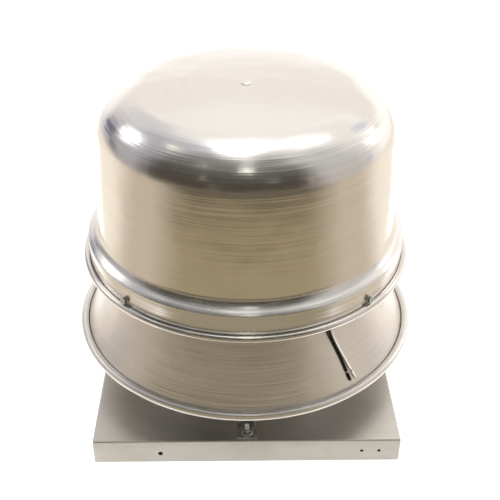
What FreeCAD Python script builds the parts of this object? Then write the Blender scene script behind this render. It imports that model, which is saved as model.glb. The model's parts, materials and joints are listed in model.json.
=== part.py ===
import FreeCAD, Part
import math
import os
from types import SimpleNamespace

import Sketcher

# Downblast rooftop exhaust fan: a spun motor cover over a flared discharge shroud, on a square curb cap.
# Millimetres and degrees. Origin at the middle of the skirt's lower edge, +Z up, the front is -Y.

sizes = {
    # Curb cap
    "capWidth": 495.0, "skirtDepth": 45.0, "capSheet": 1.6, "capFold": 3.0,
    "inletInset": 15.0,
    "skirtHoleInset": 107.8, "skirtHoleHeight": 18.5, "skirtHoleWidth": 7.7,
    "skirtPairInset": 47.9, "skirtPairHeight": 21.4, "skirtPairPitch": 27.9, "skirtPairWidth": 5.5,
    # Inlet venturi
    "venturiSheet": 1.2, "venturiFlange": 16.0, "venturiBell": 45.0, "throatLand": 12.0,
    "venturiRivetInset": 8.0, "venturiRivets": 8,
    "rivetWidth": 4.8, "rivetHead": 9.5, "rivetHeadHeight": 1.6, "rivetTail": 7.0, "rivetTailHeight": 2.0,
    "rivetSink": 6.4, "rivetSinkDepth": 0.8,
    # Support legs
    "studInset": 26.4, "studWidth": 6.35, "studRise": 21.0, "studFlange": 8.4, "studFlangeHeight": 1.0,
    "washerWidth": 18.5, "washerSheet": 1.6, "hexWidth": 11.1, "hexHeight": 5.6, "hexHeadHeight": 4.6,
    "boltTail": 3.0,
    "legGap": 6.5, "legDepth": 12.0, "legSheet": 2.5, "legWidth": 14.0, "legBaseWidth": 30.0,
    "legTaper": 34.0, "footWidth": 32.0, "footEnd": 13.1, "footHole": 9.2,
    "tabWidth": 22.0, "tabReach": 38.0, "tabBoltInset": 25.0,
    # Motor plate
    "plateHeight": 248.0, "plateSheet": 2.5, "plateRim": 1.0, "plateHole": 50.0,
    # Shroud
    "shroudSheet": 1.2, "shroudOverhang": 40.5, "shroudRimHeight": 133.0, "shroudBead": 6.5,
    "shroudFlange": 18.0, "shroudShoulder": 8.0, "shroudTopSlope": 68.0, "shroudRimSlope": 57.0,
    "curlOpening": 50.0, "shroudScrewInset": 8.0, "shroudScrews": 8,
    "screwWidth": 4.8, "screwHead": 9.0, "screwHeadHeight": 3.2, "screwLength": 10.0,
    # Motor cover
    "coverSheet": 1.2, "coverTop": 552.0, "coverCrownEdge": 85.0,
    "coverUpperCorner": 86.0, "coverLowerCorner": 62.0, "coverCornerJoin": 45.0, "coverTaper": 4.2,
    "coverShoulder": 16.6, "coverShoulderRise": 9.2, "coverLip": 2.8, "coverLipRise": 2.5,
    "coverFootFillet": 20.9, "coverLipFillet": 24.0, "coverEdgeFillet": 0.8,
    "coverSetback": 28.0, "coverBandDepth": 36.6, "coverLift": 19.8, "coverBead": 5.6,
    "plugHole": 12.0, "plugFlange": 17.0, "plugRim": 0.7, "plugDome": 2.2, "plugCrown": 9.4, "plugStem": 6.0,
    # Cover brackets
    "bracketSheet": 2.0, "bracketWidth": 25.0, "bracketFoot": 19.0, "bracketRise": 22.0,
    "bracketBend": 3.0, "bracketTabRise": 12.0, "coverBoltRise": 12.0, "coverBoltWidth": 6.35,
    "coverBoltHex": 9.5, "coverBoltFlange": 13.0, "coverBoltCollar": 1.2,
    "coverBoltHead": 4.5, "coverBoltLength": 16.0,
    "clipNutWidth": 14.0, "clipNutDepth": 5.0, "bracketGap": 0.3,
    # Motor mount and isolators
    "isolatorRadius": 105.0, "isolatorWidth": 26.0, "isolatorHeight": 12.0,
    "mountSheet": 3.0, "mountRim": 17.0, "mountHole": 50.0,
    # Motor
    "motorRadius": 71.5, "shellSheet": 2.0, "motorLength": 150.0, "bellSkirt": 16.0, "bellSpigot": 6.0,
    "bellFloor": 5.0, "bellWall": 9.5, "bellChamfer": 4.0, "bossWidth": 44.0,
    "bossHeight": 19.0, "bearingWidth": 32.0,
    "bearingDepth": 10.0, "shaftRelief": 18.0, "bellVents": 8, "bellVentWidth": 10.0,
    "bellVentRadius": 44.0, "coreLength": 60.0, "coreStart": 40.0, "coreDepth": 26.2,
    "slotCount": 24, "slotWidth": 5.0, "slotDepth": 12.0, "windingHeight": 15.0, "windingGap": 2.7,
    "airGap": 0.6, "tieBoltInset": 5.8, "tieBoltWidth": 4.8, "tieBoltHex": 8.0,
    "tieBoltHeadHeight": 3.5,
    "leadTurn": -58.0, "leadHole": 12.0, "leadGrommet": 16.0,
    "grommetLip": 2.5, "grommetGap": 0.6,
    # Shaft, hub and wheel
    "shaftWidth": 12.7, "shaftDrop": 15.0, "shaftTopInset": 5.0, "shaftChamfer": 1.0, "shaftFlat": 0.8,
    "shaftFlatLength": 48.0, "runningGap": 0.05, "pressGap": 0.01,
    "bladeCount": 9, "wheelRadius": 165.0, "backDrop": 36.5, "wheelSheet": 1.6, "hubBoss": 36.0,
    "hubFlange": 80.0, "hubFlangeHeight": 5.0, "hubRise": 27.0, "hubDrop": 10.0,
    "hubRivetRadius": 30.0, "hubRivets": 6, "setScrewWidth": 6.35, "setScrewHead": 8.0,
    "setScrewLength": 20.0, "setScrewHeadHeight": 6.0, "setScrewHeight": 18.0,
    "eyeGap": 5.0, "eyeDip": 9.0, "coneLift": 5.0, "coneRise": 23.0, "coneBend": 14.0,
    "bladeSetback": 11.0, "bladeSweep": 34.0, "bladeCurve": 120.0, "bladeInset": 1.0,
    # Leads
    "leadWidth": 3.5, "wireWidth": 1.5, "bareGap": 3.0, "slugLength": 12.5, "tipLength": 2.0,
    # Clearances between pieces that seat or pass through each other, and how far a cut runs past its blank
    "holeGap": 0.2, "seatGap": 0.1, "cutSpare": 1.0,
}

doc = FreeCAD.newDocument("exhaust_fan")
sheet = doc.addObject("Spreadsheet::Sheet", "sizes")


class Size:
    """A value of the model together with the expression that gives it from the sheet."""

    def __init__(self, value, text):
        self.value = value
        self.text = text

    def __add__(self, other):
        other = as_size(other)
        return Size(self.value + other.value, f"({self.text} + {other.text})")

    def __radd__(self, other):
        return as_size(other) + self

    def __sub__(self, other):
        other = as_size(other)
        return Size(self.value - other.value, f"({self.text} - {other.text})")

    def __rsub__(self, other):
        return as_size(other) - self

    def __mul__(self, other):
        other = as_size(other)
        return Size(self.value * other.value, f"({self.text} * {other.text})")

    def __rmul__(self, other):
        return as_size(other) * self

    def __truediv__(self, other):
        other = as_size(other)
        return Size(self.value / other.value, f"({self.text} / {other.text})")

    def __rtruediv__(self, other):
        return as_size(other) / self

    def __neg__(self):
        return Size(-self.value, f"(0 - {self.text})")


def as_size(number):
    return number if isinstance(number, Size) else Size(float(number), repr(float(number)))


def cosine(angle):
    angle = as_size(angle)
    return Size(math.cos(math.radians(angle.value)), f"cos({angle.text} * 1deg)")


def sine(angle):
    angle = as_size(angle)
    return Size(math.sin(math.radians(angle.value)), f"sin({angle.text} * 1deg)")


def root(number):
    return Size(math.sqrt(number.value), f"sqrt({number.text})")


for row, (alias, number) in enumerate(sizes.items(), 1):
    sheet.set(f"A{row}", alias)
    sheet.set(f"B{row}", str(number))
    sheet.setAlias(f"B{row}", alias)
doc.recompute()
s = SimpleNamespace(**{alias: Size(float(number), f"sizes.{alias}") for alias, number in sizes.items()})

# Heights and radii that several pieces share, worked out from the sheet
deckTop = s.skirtDepth
deckBottom = deckTop - s.capSheet
plateTop = s.plateHeight
plateBottom = plateTop - s.plateSheet
flangeTop = plateTop + s.shroudSheet
mountBottom = plateTop + s.isolatorHeight
motorFoot = mountBottom + s.mountSheet
motorTop = motorFoot + s.motorLength
leadHeight = motorFoot + (s.bellSkirt + s.bellSpigot + s.coreStart) / 2
inletRadius = s.wheelRadius - s.inletInset
throatRadius = inletRadius - s.venturiBell
venturiRivetRadius = inletRadius + s.venturiRivetInset
throatTop = deckTop + s.venturiBell + s.throatLand
leftTurns = {"right": 0, "back": 90, "left": 180, "front": 270}
cornerTurns = {"back_right": 45, "back_left": 135, "front_left": 225, "front_right": 315}

# The shroud's wall is one large arc between its shoulder and its rim, and the legs stand just inside it
shroudCurl = (s.capWidth / 2 + s.shroudOverhang - s.shroudBead, s.shroudRimHeight)
wallLow = (shroudCurl[0] - s.shroudBead * sine(s.shroudRimSlope),
           shroudCurl[1] - s.shroudBead * cosine(s.shroudRimSlope))
wallHighUp = plateTop - s.shroudShoulder * (1 - cosine(s.shroudTopSlope))
flare = (wallHighUp - wallLow[1]) / (cosine(s.shroudRimSlope) - cosine(s.shroudTopSlope))
wallHighAcross = wallLow[0] - flare * (sine(s.shroudTopSlope) - sine(s.shroudRimSlope))
shoulderAcross = wallHighAcross - s.shroudShoulder * sine(s.shroudTopSlope)
legRadius = shoulderAcross - s.legGap
studRadius = legRadius + s.studInset
tabBoltRadius = legRadius - s.tabBoltInset
plateRadius = legRadius + s.plateRim
shroudScrewRadius = plateRadius - s.shroudScrewInset

# The cover's band stands inside the shroud's rim, and the brackets reach out to it
coverBand = s.capWidth / 2 + s.shroudOverhang - s.coverSetback
bandInner = coverBand - s.coverSheet
beadHeight = flangeTop + s.coverLift
coverBoltHeight = beadHeight + s.coverBoltRise
halfTab = s.bracketWidth / 2
bracketTab = root(bandInner * bandInner - halfTab * halfTab) - s.bracketGap - s.bracketSheet

# Motor and wheel
tieBoltRadius = s.motorRadius - s.tieBoltInset
boreRadius = s.motorRadius - s.coreDepth
shaftRadius = s.shaftWidth / 2
backBottom = plateBottom - s.backDrop
backTop = backBottom + s.wheelSheet
eyeRadius = throatRadius + s.eyeGap
coneStart = throatTop + s.coneLift
coneEnd = coneStart + s.coneRise


# Outlines are lists of edges, and each point is a pair of sizes

def point(across, up):
    return as_size(across), as_size(up)


def line(first, last):
    return SimpleNamespace(kind="line", first=point(*first), last=point(*last))


def arc(centre, radius, start, end):
    """An arc about a centre, between two angles. It runs clockwise where end is below start."""
    centre, radius = point(*centre), as_size(radius)
    ends = [(centre[0] + radius * cosine(angle), centre[1] + radius * sine(angle))
            for angle in (start, end)]
    return SimpleNamespace(kind="arc", first=ends[0], last=ends[1], radius=radius,
                           centre=(centre[0].value, centre[1].value),
                           clockwise=as_size(end).value < as_size(start).value)


def circle(centre, radius):
    return SimpleNamespace(kind="circle", centre=point(*centre), radius=as_size(radius))


def polygon(*corners):
    return [line(corners[i], corners[(i + 1) % len(corners)]) for i in range(len(corners))]


def rectangle(left, bottom, right, top):
    return polygon((left, bottom), (right, bottom), (right, top), (left, top))


def hexagon(across, width):
    """A hexagon of the given width across its flats, centred at (across, 0)."""
    reach = width / 2 / cosine(30)
    return polygon(*[(across + reach * cosine(60 * i), reach * sine(60 * i)) for i in range(6)])


def bent(points, radii):
    """An open path through the points, each inner corner rounded by its radius."""
    points = [point(*p) for p in points]
    edges, here = [], points[0]
    for i, radius in enumerate(radii, 1):
        before, corner, after = points[i - 1], points[i], points[i + 1]
        inward = direction(before, corner)
        onward = direction(corner, after)
        turn = inward[0] * onward[1] - inward[1] * onward[0]
        along = inward[0] * onward[0] + inward[1] * onward[1]
        clockwise = turn.value < 0
        radius = as_size(radius)
        setback = radius * (-turn if clockwise else turn) / (1 + along)
        start = (corner[0] - setback * inward[0], corner[1] - setback * inward[1])
        end = (corner[0] + setback * onward[0], corner[1] + setback * onward[1])
        side = -radius.value if clockwise else radius.value
        centre = (start[0].value - side * inward[1].value, start[1].value + side * inward[0].value)
        edges.append(line(here, start))
        edges.append(SimpleNamespace(kind="arc", first=start, last=end, radius=radius, centre=centre,
                                     clockwise=clockwise))
        here = end
    edges.append(line(here, points[-1]))
    return edges


def direction(first, last):
    across, up = last[0] - first[0], last[1] - first[1]
    length = root(across * across + up * up)
    return across / length, up / length


# Sketches hold an outline, with each end point and radius bound to its expression

planes = {"XY": "XY_Plane", "XZ": "XZ_Plane", "YZ": "YZ_Plane"}


def bind(sketch, kind, arguments, size):
    index = sketch.addConstraint(Sketcher.Constraint(kind, *arguments, size.value))
    sketch.setExpression(f"Constraints[{index}]", size.text)


def locate(sketch, edge, end, place):
    """Tie a point of the sketch to the origin across and up."""
    for kind, axis, size in (("DistanceX", -2, place[0]), ("DistanceY", -1, place[1])):
        if abs(size.value) < 1e-9:
            sketch.addConstraint(Sketcher.Constraint("PointOnObject", edge, end, axis))
        elif size.value > 0:
            bind(sketch, kind, (-1, 1, edge, end), size)
        else:
            bind(sketch, kind, (edge, end, -1, 1), -size)


def draw(sketch, outline):
    placed = {}

    def join(edge, end, place):
        key = (round(place[0].value, 6), round(place[1].value, 6))
        if key in placed:
            sketch.addConstraint(Sketcher.Constraint("Coincident", edge, end, *placed[key]))
        else:
            placed[key] = (edge, end)
            locate(sketch, edge, end, place)

    for part in outline:
        if part.kind == "circle":
            middle = FreeCAD.Vector(part.centre[0].value, part.centre[1].value, 0)
            ring = Part.Circle(middle, FreeCAD.Vector(0, 0, 1), part.radius.value)
            edge = sketch.addGeometry(ring)
            locate(sketch, edge, 3, part.centre)
            bind(sketch, "Radius", (edge,), part.radius)
            continue
        ends = [FreeCAD.Vector(p[0].value, p[1].value, 0) for p in (part.first, part.last)]
        if part.kind == "line":
            edge = sketch.addGeometry(Part.LineSegment(*ends))
            join(edge, 1, part.first)
            join(edge, 2, part.last)
            continue
        middle = FreeCAD.Vector(*part.centre, 0)
        angles = [math.atan2(p.y - middle.y, p.x - middle.x) for p in ends]
        low, high = reversed(angles) if part.clockwise else angles
        if high <= low:
            high += 2 * math.pi
        ring = Part.Circle(middle, FreeCAD.Vector(0, 0, 1), part.radius.value)
        edge = sketch.addGeometry(Part.ArcOfCircle(ring, low, high))
        join(edge, 2 if part.clockwise else 1, part.first)
        join(edge, 1 if part.clockwise else 2, part.last)
        bind(sketch, "Radius", (edge,), part.radius)


def role(body, name):
    return next(f for f in body.Origin.OriginFeatures if f.Role == name)


def new_body(label, turn=0):
    body = doc.addObject("PartDesign::Body", label)
    body.Label = label
    body.AllowCompound = True
    body.Placement = FreeCAD.Placement(FreeCAD.Vector(), FreeCAD.Rotation(FreeCAD.Vector(0, 0, 1), turn))
    return body


def sketch_on(body, plane, outline, away=None):
    """A sketch on one of the body's own planes, moved off it by the length away."""
    sketch = body.newObject("Sketcher::SketchObject", f"{body.Name}_outline")
    sketch.AttachmentSupport = (role(body, planes[plane]), [""])
    sketch.MapMode = "FlatFace"
    if away is not None:
        sketch.AttachmentOffset = FreeCAD.Placement(FreeCAD.Vector(0, 0, away.value), FreeCAD.Rotation())
        sketch.setExpression("AttachmentOffset.Base.z", away.text)
    draw(sketch, outline)
    return sketch


def feature(body, kind, sketch, length=None, back=False):
    made = body.newObject(f"PartDesign::{kind}", f"{body.Name}_{kind.lower()}")
    made.Profile = sketch
    made.Reversed = back
    if length is not None:
        made.Length = length.value
        made.setExpression("Length", length.text)
    return made


def pad(body, plane, outline, length, away=None, back=False):
    return feature(body, "Pad", sketch_on(body, plane, outline, away), length, back)


def pocket(body, plane, outline, length, away=None, back=False):
    return feature(body, "Pocket", sketch_on(body, plane, outline, away), length, back)


def turn_about_z(body, outline, kind="Revolution"):
    made = feature(body, kind, sketch_on(body, "XZ", outline))
    made.ReferenceAxis = (role(body, "Z_Axis"), [""])
    made.Angle = 360
    return made


def turn_about_line(body, outline, first, last, kind="Revolution"):
    """A turned feature in the XZ plane about the line between two points."""
    sketch = sketch_on(body, "XZ", outline)
    first, last = point(*first), point(*last)
    ends = [FreeCAD.Vector(p[0].value, p[1].value, 0) for p in (first, last)]
    edge = sketch.addGeometry(Part.LineSegment(*ends), True)
    locate(sketch, edge, 1, first)
    locate(sketch, edge, 2, last)
    made = feature(body, kind, sketch)
    made.ReferenceAxis = (sketch, ["Axis0"])
    made.Angle = 360
    return made


def around(body, features, count):
    pattern = body.newObject("PartDesign::PolarPattern", f"{body.Name}_ring")
    pattern.Originals = features
    pattern.Axis = (role(body, "Z_Axis"), [""])
    pattern.Angle = 360
    count = as_size(count)
    pattern.Occurrences = int(count.value)
    pattern.setExpression("Occurrences", count.text)
    body.Tip = pattern
    return pattern


def turned(label, outline, turn=0):
    body = new_body(label, turn)
    turn_about_z(body, outline)
    return body


def bent_strip(name, path, thickness):
    """The face between an open path in the XZ plane and its offset, left of the path or right if negative."""
    backwards = path[0].kind == "arc" and path[0].clockwise  # arcs of a sketch always run counterclockwise
    thickness = -thickness if backwards else thickness
    sketch = doc.addObject("Sketcher::SketchObject", f"{name}_path")
    sketch.Placement = FreeCAD.Placement(FreeCAD.Vector(), FreeCAD.Rotation(FreeCAD.Vector(1, 0, 0), 90))
    draw(sketch, path)
    face = doc.addObject("Part::Offset2D", f"{name}_section")
    face.Source = sketch
    face.Mode = "Skin"
    face.Join = "Intersection"
    face.Fill = True
    face.Value = thickness.value
    face.setExpression("Value", thickness.text)
    return face


def spun(name, path, thickness):
    """A sheet turned about the Z axis, as a spinning lathe makes it."""
    shell = doc.addObject("Part::Revolution", f"{name}_shell")
    shell.Source = bent_strip(name, path, thickness)
    shell.Axis = (0, 0, 1)
    shell.Base = (0, 0, 0)
    shell.Angle = 360
    shell.Solid = True
    return shell


def rod(name, width, length, base, tilt=0, turn=0):
    """A cylinder for a hole or a wire. Tilted by 90 it lies along the radius at its turn about Z."""
    tool = doc.addObject("Part::Cylinder", name)
    for key, size in (("Radius", width / 2), ("Height", length)):
        setattr(tool, key, size.value)
        tool.setExpression(key, size.text)
    spin = FreeCAD.Rotation(FreeCAD.Vector(0, 0, 1), turn)
    tool.Placement = FreeCAD.Placement(
        FreeCAD.Vector(), spin.multiply(FreeCAD.Rotation(FreeCAD.Vector(0, 1, 0), tilt)))
    base = point(*base)
    for key, size in (("x", base[0] * cosine(turn)), ("y", base[0] * sine(turn)), ("z", base[1])):
        tool.setExpression(f"Placement.Base.{key}", size.text)
    return tool


def cut(label, blank, tools, turn=0):
    """The blank with its holes, under its node's name."""
    group = doc.addObject("Part::MultiFuse", f"{label}_tools") if len(tools) > 1 else tools[0]
    if len(tools) > 1:
        group.Shapes = tools
    made = doc.addObject("Part::Cut", label)
    made.Base = blank
    made.Tool = group
    made.Label = label
    made.Placement = FreeCAD.Placement(FreeCAD.Vector(), FreeCAD.Rotation(FreeCAD.Vector(0, 0, 1), turn))
    return made


def fastener(label, radius, width, bottom, top, head_width, head_bottom, head_height, count,
             flange=None, turn=0, hex_head=True):
    """A ring of upright bolts, rivets or screws: a turned shank and a head above or below it."""
    body = new_body(label, turn)
    parts = [turn_about_line(body, rectangle(radius, bottom, radius + width / 2, top),
                             (radius, bottom), (radius, top))]
    if hex_head:
        parts.append(pad(body, "XY", hexagon(radius, head_width), head_height, head_bottom))
    else:
        dome = rectangle(radius, head_bottom, radius + head_width / 2, head_bottom + head_height)
        parts.append(turn_about_line(body, dome, (radius, head_bottom), (radius, head_bottom + head_height)))
    if flange is not None:
        collar = rectangle(radius, flange[0], radius + flange[2] / 2, flange[1])
        parts.append(turn_about_line(body, collar, (radius, flange[0]), (radius, flange[1])))
    around(body, parts, count)
    return body


def hex_nuts(label, radius, width, bore, bottom, height, count, turn=0):
    body = new_body(label, turn)
    nut = pad(body, "XY", hexagon(radius, width) + [circle((radius, 0), bore / 2)], height, bottom)
    around(body, [nut], count)
    return body


def washers(label, radius, width, bore, bottom, height, count, turn=0):
    body = new_body(label, turn)
    ring = pad(body, "XY", [circle((radius, 0), width / 2), circle((radius, 0), bore / 2)], height, bottom)
    around(body, [ring], count)
    return body


# Curb cap: a folded pan, open below, with the inlet in its deck and holes in its skirts

def make_curb_cap():
    body = new_body("curb_cap")
    half = s.capWidth / 2
    block = pad(body, "XY", rectangle(-half, -half, half, half), s.skirtDepth)
    doc.recompute()
    corners = [f"Edge{i}" for i, e in enumerate(block.Shape.Edges, 1)
               if e.BoundBox.ZLength > 1 or e.BoundBox.ZMin > 1]
    folds = body.newObject("PartDesign::Fillet", "curb_cap_folds")
    folds.Base = (block, corners)
    folds.Radius = s.capFold.value
    folds.setExpression("Radius", s.capFold.text)
    doc.recompute()
    below = next(f"Face{i}" for i, f in enumerate(folds.Shape.Faces, 1) if f.BoundBox.ZMax < 0.1)
    pan = body.newObject("PartDesign::Thickness", "curb_cap_pan")
    pan.Base = (folds, [below])
    pan.Value = s.capSheet.value
    pan.setExpression("Value", s.capSheet.text)
    pan.Reversed = True
    doc.recompute()
    pocket(body, "XY", [circle((0, 0), inletRadius)], 2 * s.capSheet, deckTop)
    rivet, place = s.rivetWidth / 2 + s.holeGap, venturiRivetRadius
    rivetHoles = pocket(body, "XY", [circle((place, 0), rivet)], 2 * s.capSheet, deckTop)
    sinkTop = deckBottom + s.rivetSinkDepth
    sinkEdge = place + s.rivetSink / 2 + s.holeGap
    cone = polygon((place, deckBottom), (sinkEdge, deckBottom), (place + rivet, sinkTop), (place, sinkTop))
    sinks = turn_about_line(body, cone, (place, deckBottom), (place, sinkTop), kind="Groove")
    around(body, [rivetHoles, sinks], s.venturiRivets)
    pair = half - s.skirtPairInset
    sideHoles = pocket(body, "XZ", [
        circle((s.skirtHoleInset - half, s.skirtHoleHeight), s.skirtHoleWidth / 2),
        circle((pair - s.skirtPairPitch / 2, s.skirtPairHeight), s.skirtPairWidth / 2),
        circle((pair + s.skirtPairPitch / 2, s.skirtPairHeight), s.skirtPairWidth / 2)],
        2 * s.capFold, half + s.capFold, back=False)
    around(body, [sideHoles], 4)
    return body


def make_venturi():
    flangeRadius = inletRadius + s.venturiFlange
    outer = s.venturiBell - s.venturiSheet
    body = turned("inlet_venturi", [
        line((inletRadius, deckTop), (flangeRadius, deckTop)),
        line((flangeRadius, deckTop), (flangeRadius, deckTop + s.venturiSheet)),
        line((flangeRadius, deckTop + s.venturiSheet), (inletRadius, deckTop + s.venturiSheet)),
        arc((inletRadius, deckTop + s.venturiBell), outer, 270, 180),
        line((inletRadius - outer, deckTop + s.venturiBell), (inletRadius - outer, throatTop)),
        line((inletRadius - outer, throatTop), (throatRadius, throatTop)),
        line((throatRadius, throatTop), (throatRadius, deckTop + s.venturiBell)),
        arc((inletRadius, deckTop + s.venturiBell), s.venturiBell, 180, 270)])
    top = deckTop + s.venturiSheet
    holes = pocket(body, "XY", [circle((venturiRivetRadius, 0), s.rivetWidth / 2 + s.holeGap)],
                   2 * s.venturiSheet, top)
    around(body, [holes], s.venturiRivets)


def make_venturi_rivets():
    """Rivets whose tails fill a countersink under the deck, so that the cap lies flat on its curb."""
    body = new_body("venturi_rivets")
    place, shank = venturiRivetRadius, venturiRivetRadius + s.rivetWidth / 2
    head, tail = place + s.rivetHead / 2, place + s.rivetSink / 2
    low, under = deckBottom + s.pressGap, deckTop + s.venturiSheet
    top = under + s.rivetHeadHeight
    rivet = turn_about_line(body, polygon(
        (place, low), (tail, low), (shank, low + s.rivetSinkDepth), (shank, under), (head, under),
        (head, top), (place, top)), (place, low), (place, top))
    around(body, [rivet], s.venturiRivets)


# Support legs: tapered channels of bent sheet, each with a foot on the deck and a tab under the motor plate

def make_leg(label, turn):
    body = new_body(label, turn)
    base, width, gauge = s.legBaseWidth / 2, s.legWidth / 2, s.legSheet
    shoulder = deckTop + s.legTaper
    pad(body, "YZ", polygon((-base, deckTop), (base, deckTop), (width, shoulder), (width, plateBottom),
                            (-width, plateBottom), (-width, shoulder)), s.legDepth, legRadius)
    inner = [(-base + gauge, deckTop + gauge), (base - gauge, deckTop + gauge), (width - gauge, shoulder),
             (width - gauge, plateBottom + s.cutSpare),
             (gauge - width, plateBottom + s.cutSpare), (gauge - width, shoulder)]
    pocket(body, "YZ", polygon(*inner), s.legDepth - gauge, legRadius + s.legDepth)
    footEdge = s.footWidth / 2
    pad(body, "XY", rectangle(legRadius, -footEdge, studRadius + s.footEnd, footEdge), gauge, deckTop)
    pad(body, "XY", rectangle(legRadius - s.tabReach, -s.tabWidth / 2, legRadius + gauge, s.tabWidth / 2),
        gauge, plateBottom - gauge)
    pocket(body, "XY", [circle((studRadius, 0), s.footHole / 2)], 2 * gauge, deckTop + gauge)
    pocket(body, "XY", [circle((tabBoltRadius, 0), s.studWidth / 2 + s.holeGap)], 2 * gauge, plateBottom)
    return body


def make_leg_fasteners():
    fastener("leg_studs", studRadius, s.studWidth, deckTop, deckTop + s.studRise, s.studFlange, deckTop,
             s.studFlangeHeight, 4, hex_head=False)
    footTop = deckTop + s.legSheet
    bore = s.studWidth + s.holeGap
    washers("leg_washers", studRadius, s.washerWidth, bore, footTop, s.washerSheet, 4)
    hex_nuts("leg_nuts", studRadius, s.hexWidth, bore, footTop + s.washerSheet, s.hexHeight, 4)
    nutBottom = plateBottom - s.legSheet - s.hexHeight
    fastener("plate_bolts", tabBoltRadius, s.studWidth, nutBottom - s.boltTail, plateTop, s.hexWidth,
             plateTop, s.hexHeadHeight, 4)
    hex_nuts("plate_nuts", tabBoltRadius, s.hexWidth, bore, nutBottom, s.hexHeight, 4)


def make_motor_plate():
    body = new_body("motor_plate")
    pad(body, "XY", [circle((0, 0), plateRadius), circle((0, 0), s.plateHole / 2)], s.plateSheet,
        plateBottom)
    bolt, screw = s.studWidth / 2 + s.holeGap, s.screwWidth / 2 + s.holeGap
    deep = 2 * s.plateSheet
    diagonal = (s.isolatorRadius * cosine(45), s.isolatorRadius * sine(45))
    bolts = pocket(body, "XY", [circle((tabBoltRadius, 0), bolt), circle(diagonal, bolt)], deep, plateTop)
    around(body, [bolts], 4)
    first = (shroudScrewRadius * cosine(22.5), shroudScrewRadius * sine(22.5))
    screws = pocket(body, "XY", [circle(first, screw)], deep, plateTop)
    around(body, [screws], s.shroudScrews)
    corner = (shroudScrewRadius * cosine(45), shroudScrewRadius * sine(45))
    brackets = pocket(body, "XY", [circle(corner, screw)], deep, plateTop)
    around(body, [brackets], 4)


# Discharge shroud: a flange on the motor plate, a flared wall and an outward curl at the rim

def shroud_path():
    top, rim = s.shroudTopSlope, s.shroudRimSlope
    flareCentre = (wallHighAcross + flare * sine(top), wallHighUp + flare * cosine(top))
    start = 270 - rim
    return [line((plateRadius - s.shroudFlange, plateTop), (shoulderAcross, plateTop)),
            arc((shoulderAcross, plateTop - s.shroudShoulder), s.shroudShoulder, 90, 90 - top),
            arc(flareCentre, flare, 270 - top, 270 - rim),
            arc(shroudCurl, s.shroudBead, start, start + 360 - s.curlOpening)]


def make_shroud():
    tools = [rod(f"shroud_hole_{i}", s.screwWidth + 2 * s.holeGap, 4 * s.shroudSheet,
                 (shroudScrewRadius, plateTop - s.shroudSheet), turn=22.5 + 45 * i)
             for i in range(int(s.shroudScrews.value))]
    tools += [rod(f"shroud_bracket_hole_{i}", s.screwWidth + 2 * s.holeGap, 4 * s.shroudSheet,
                  (shroudScrewRadius, plateTop - s.shroudSheet), turn=45 + 90 * i) for i in range(4)]
    cut("shroud", spun("shroud", shroud_path(), s.shroudSheet), tools)
    fastener("shroud_screws", shroudScrewRadius, s.screwWidth, flangeTop - s.screwLength, flangeTop,
             s.screwHead, flangeTop, s.screwHeadHeight, s.shroudScrews, turn=22.5)
    footTop = flangeTop + s.bracketSheet
    fastener("bracket_screws", shroudScrewRadius, s.screwWidth, footTop - s.screwLength, footTop,
             s.screwHead, footTop, s.screwHeadHeight, 4, turn=45)


# Motor cover: a crowned top, a two-radius corner, a tapered wall, a shoulder, a band and an outward curl

def cover_path():
    t = s.coverSheet
    topIn = s.coverTop - t
    edge, join, taper = s.coverCrownEdge, s.coverCornerJoin, s.coverTaper
    upper, lower = s.coverUpperCorner - t, s.coverLowerCorner - t
    footAcross, footUp = bandInner - s.coverShoulder, beadHeight + s.coverBandDepth + s.coverShoulderRise
    lean = sine(taper) / cosine(taper)
    # The crown's radius follows from the wall's foot: both parts below are what it doesn't bring itself
    across = (upper - lower) * cosine(join) + lower * cosine(taper) - upper * cosine(edge)
    up = topIn + (upper - lower) * sine(join) + lower * sine(taper) - upper * sine(edge)
    crown = (footAcross - across - (up - footUp) * lean) / (cosine(edge) - (1 - sine(edge)) * lean)
    upperCentre = ((crown - upper) * cosine(edge), topIn - crown + (crown - upper) * sine(edge))
    lowerCentre = (upperCentre[0] + (upper - lower) * cosine(join),
                   upperCentre[1] + (upper - lower) * sine(join))
    wallTop = (lowerCentre[0] + lower * cosine(taper), lowerCentre[1] + lower * sine(taper))
    edgeUp = beadHeight + s.coverBandDepth
    wall = bent([wallTop, (footAcross, footUp), (bandInner - s.coverLip, edgeUp + s.coverLipRise),
                 (bandInner, edgeUp), (bandInner, beadHeight)],
                [s.coverFootFillet, s.coverLipFillet, s.coverEdgeFillet])
    return [arc((0, topIn - crown), crown, 90, edge), arc(upperCentre, upper, edge, join),
            arc(lowerCentre, lower, join, taper), *wall,
            arc((bandInner + s.coverBead, beadHeight), s.coverBead, 180, 540 - s.curlOpening)]


def make_cover():
    tools = [rod(f"cover_hole_{i}", s.coverBoltWidth + 2 * s.holeGap, 4 * s.bracketSheet,
                 (coverBand - 2 * s.bracketSheet, coverBoltHeight), tilt=90, turn=45 + 90 * i)
             for i in range(4)]
    tools.append(rod("cover_plug_hole", s.plugHole, 4 * s.coverSheet, (0, s.coverTop - 3 * s.coverSheet)))
    cut("motor_cover", spun("motor_cover", cover_path(), s.coverSheet), tools)
    stem = s.plugHole / 2 - s.holeGap
    top = s.coverTop
    flange = s.plugFlange / 2
    crown = s.plugCrown / 2
    turned("centre_plug", polygon(
        (0, top - s.plugStem), (stem, top - s.plugStem), (stem, top), (flange, top),
        (flange, top + s.plugRim), (crown, top + s.plugDome), (0, top + s.plugDome)))


# Cover brackets: bent straps from the shroud's flange up and out to the cover's band

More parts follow.
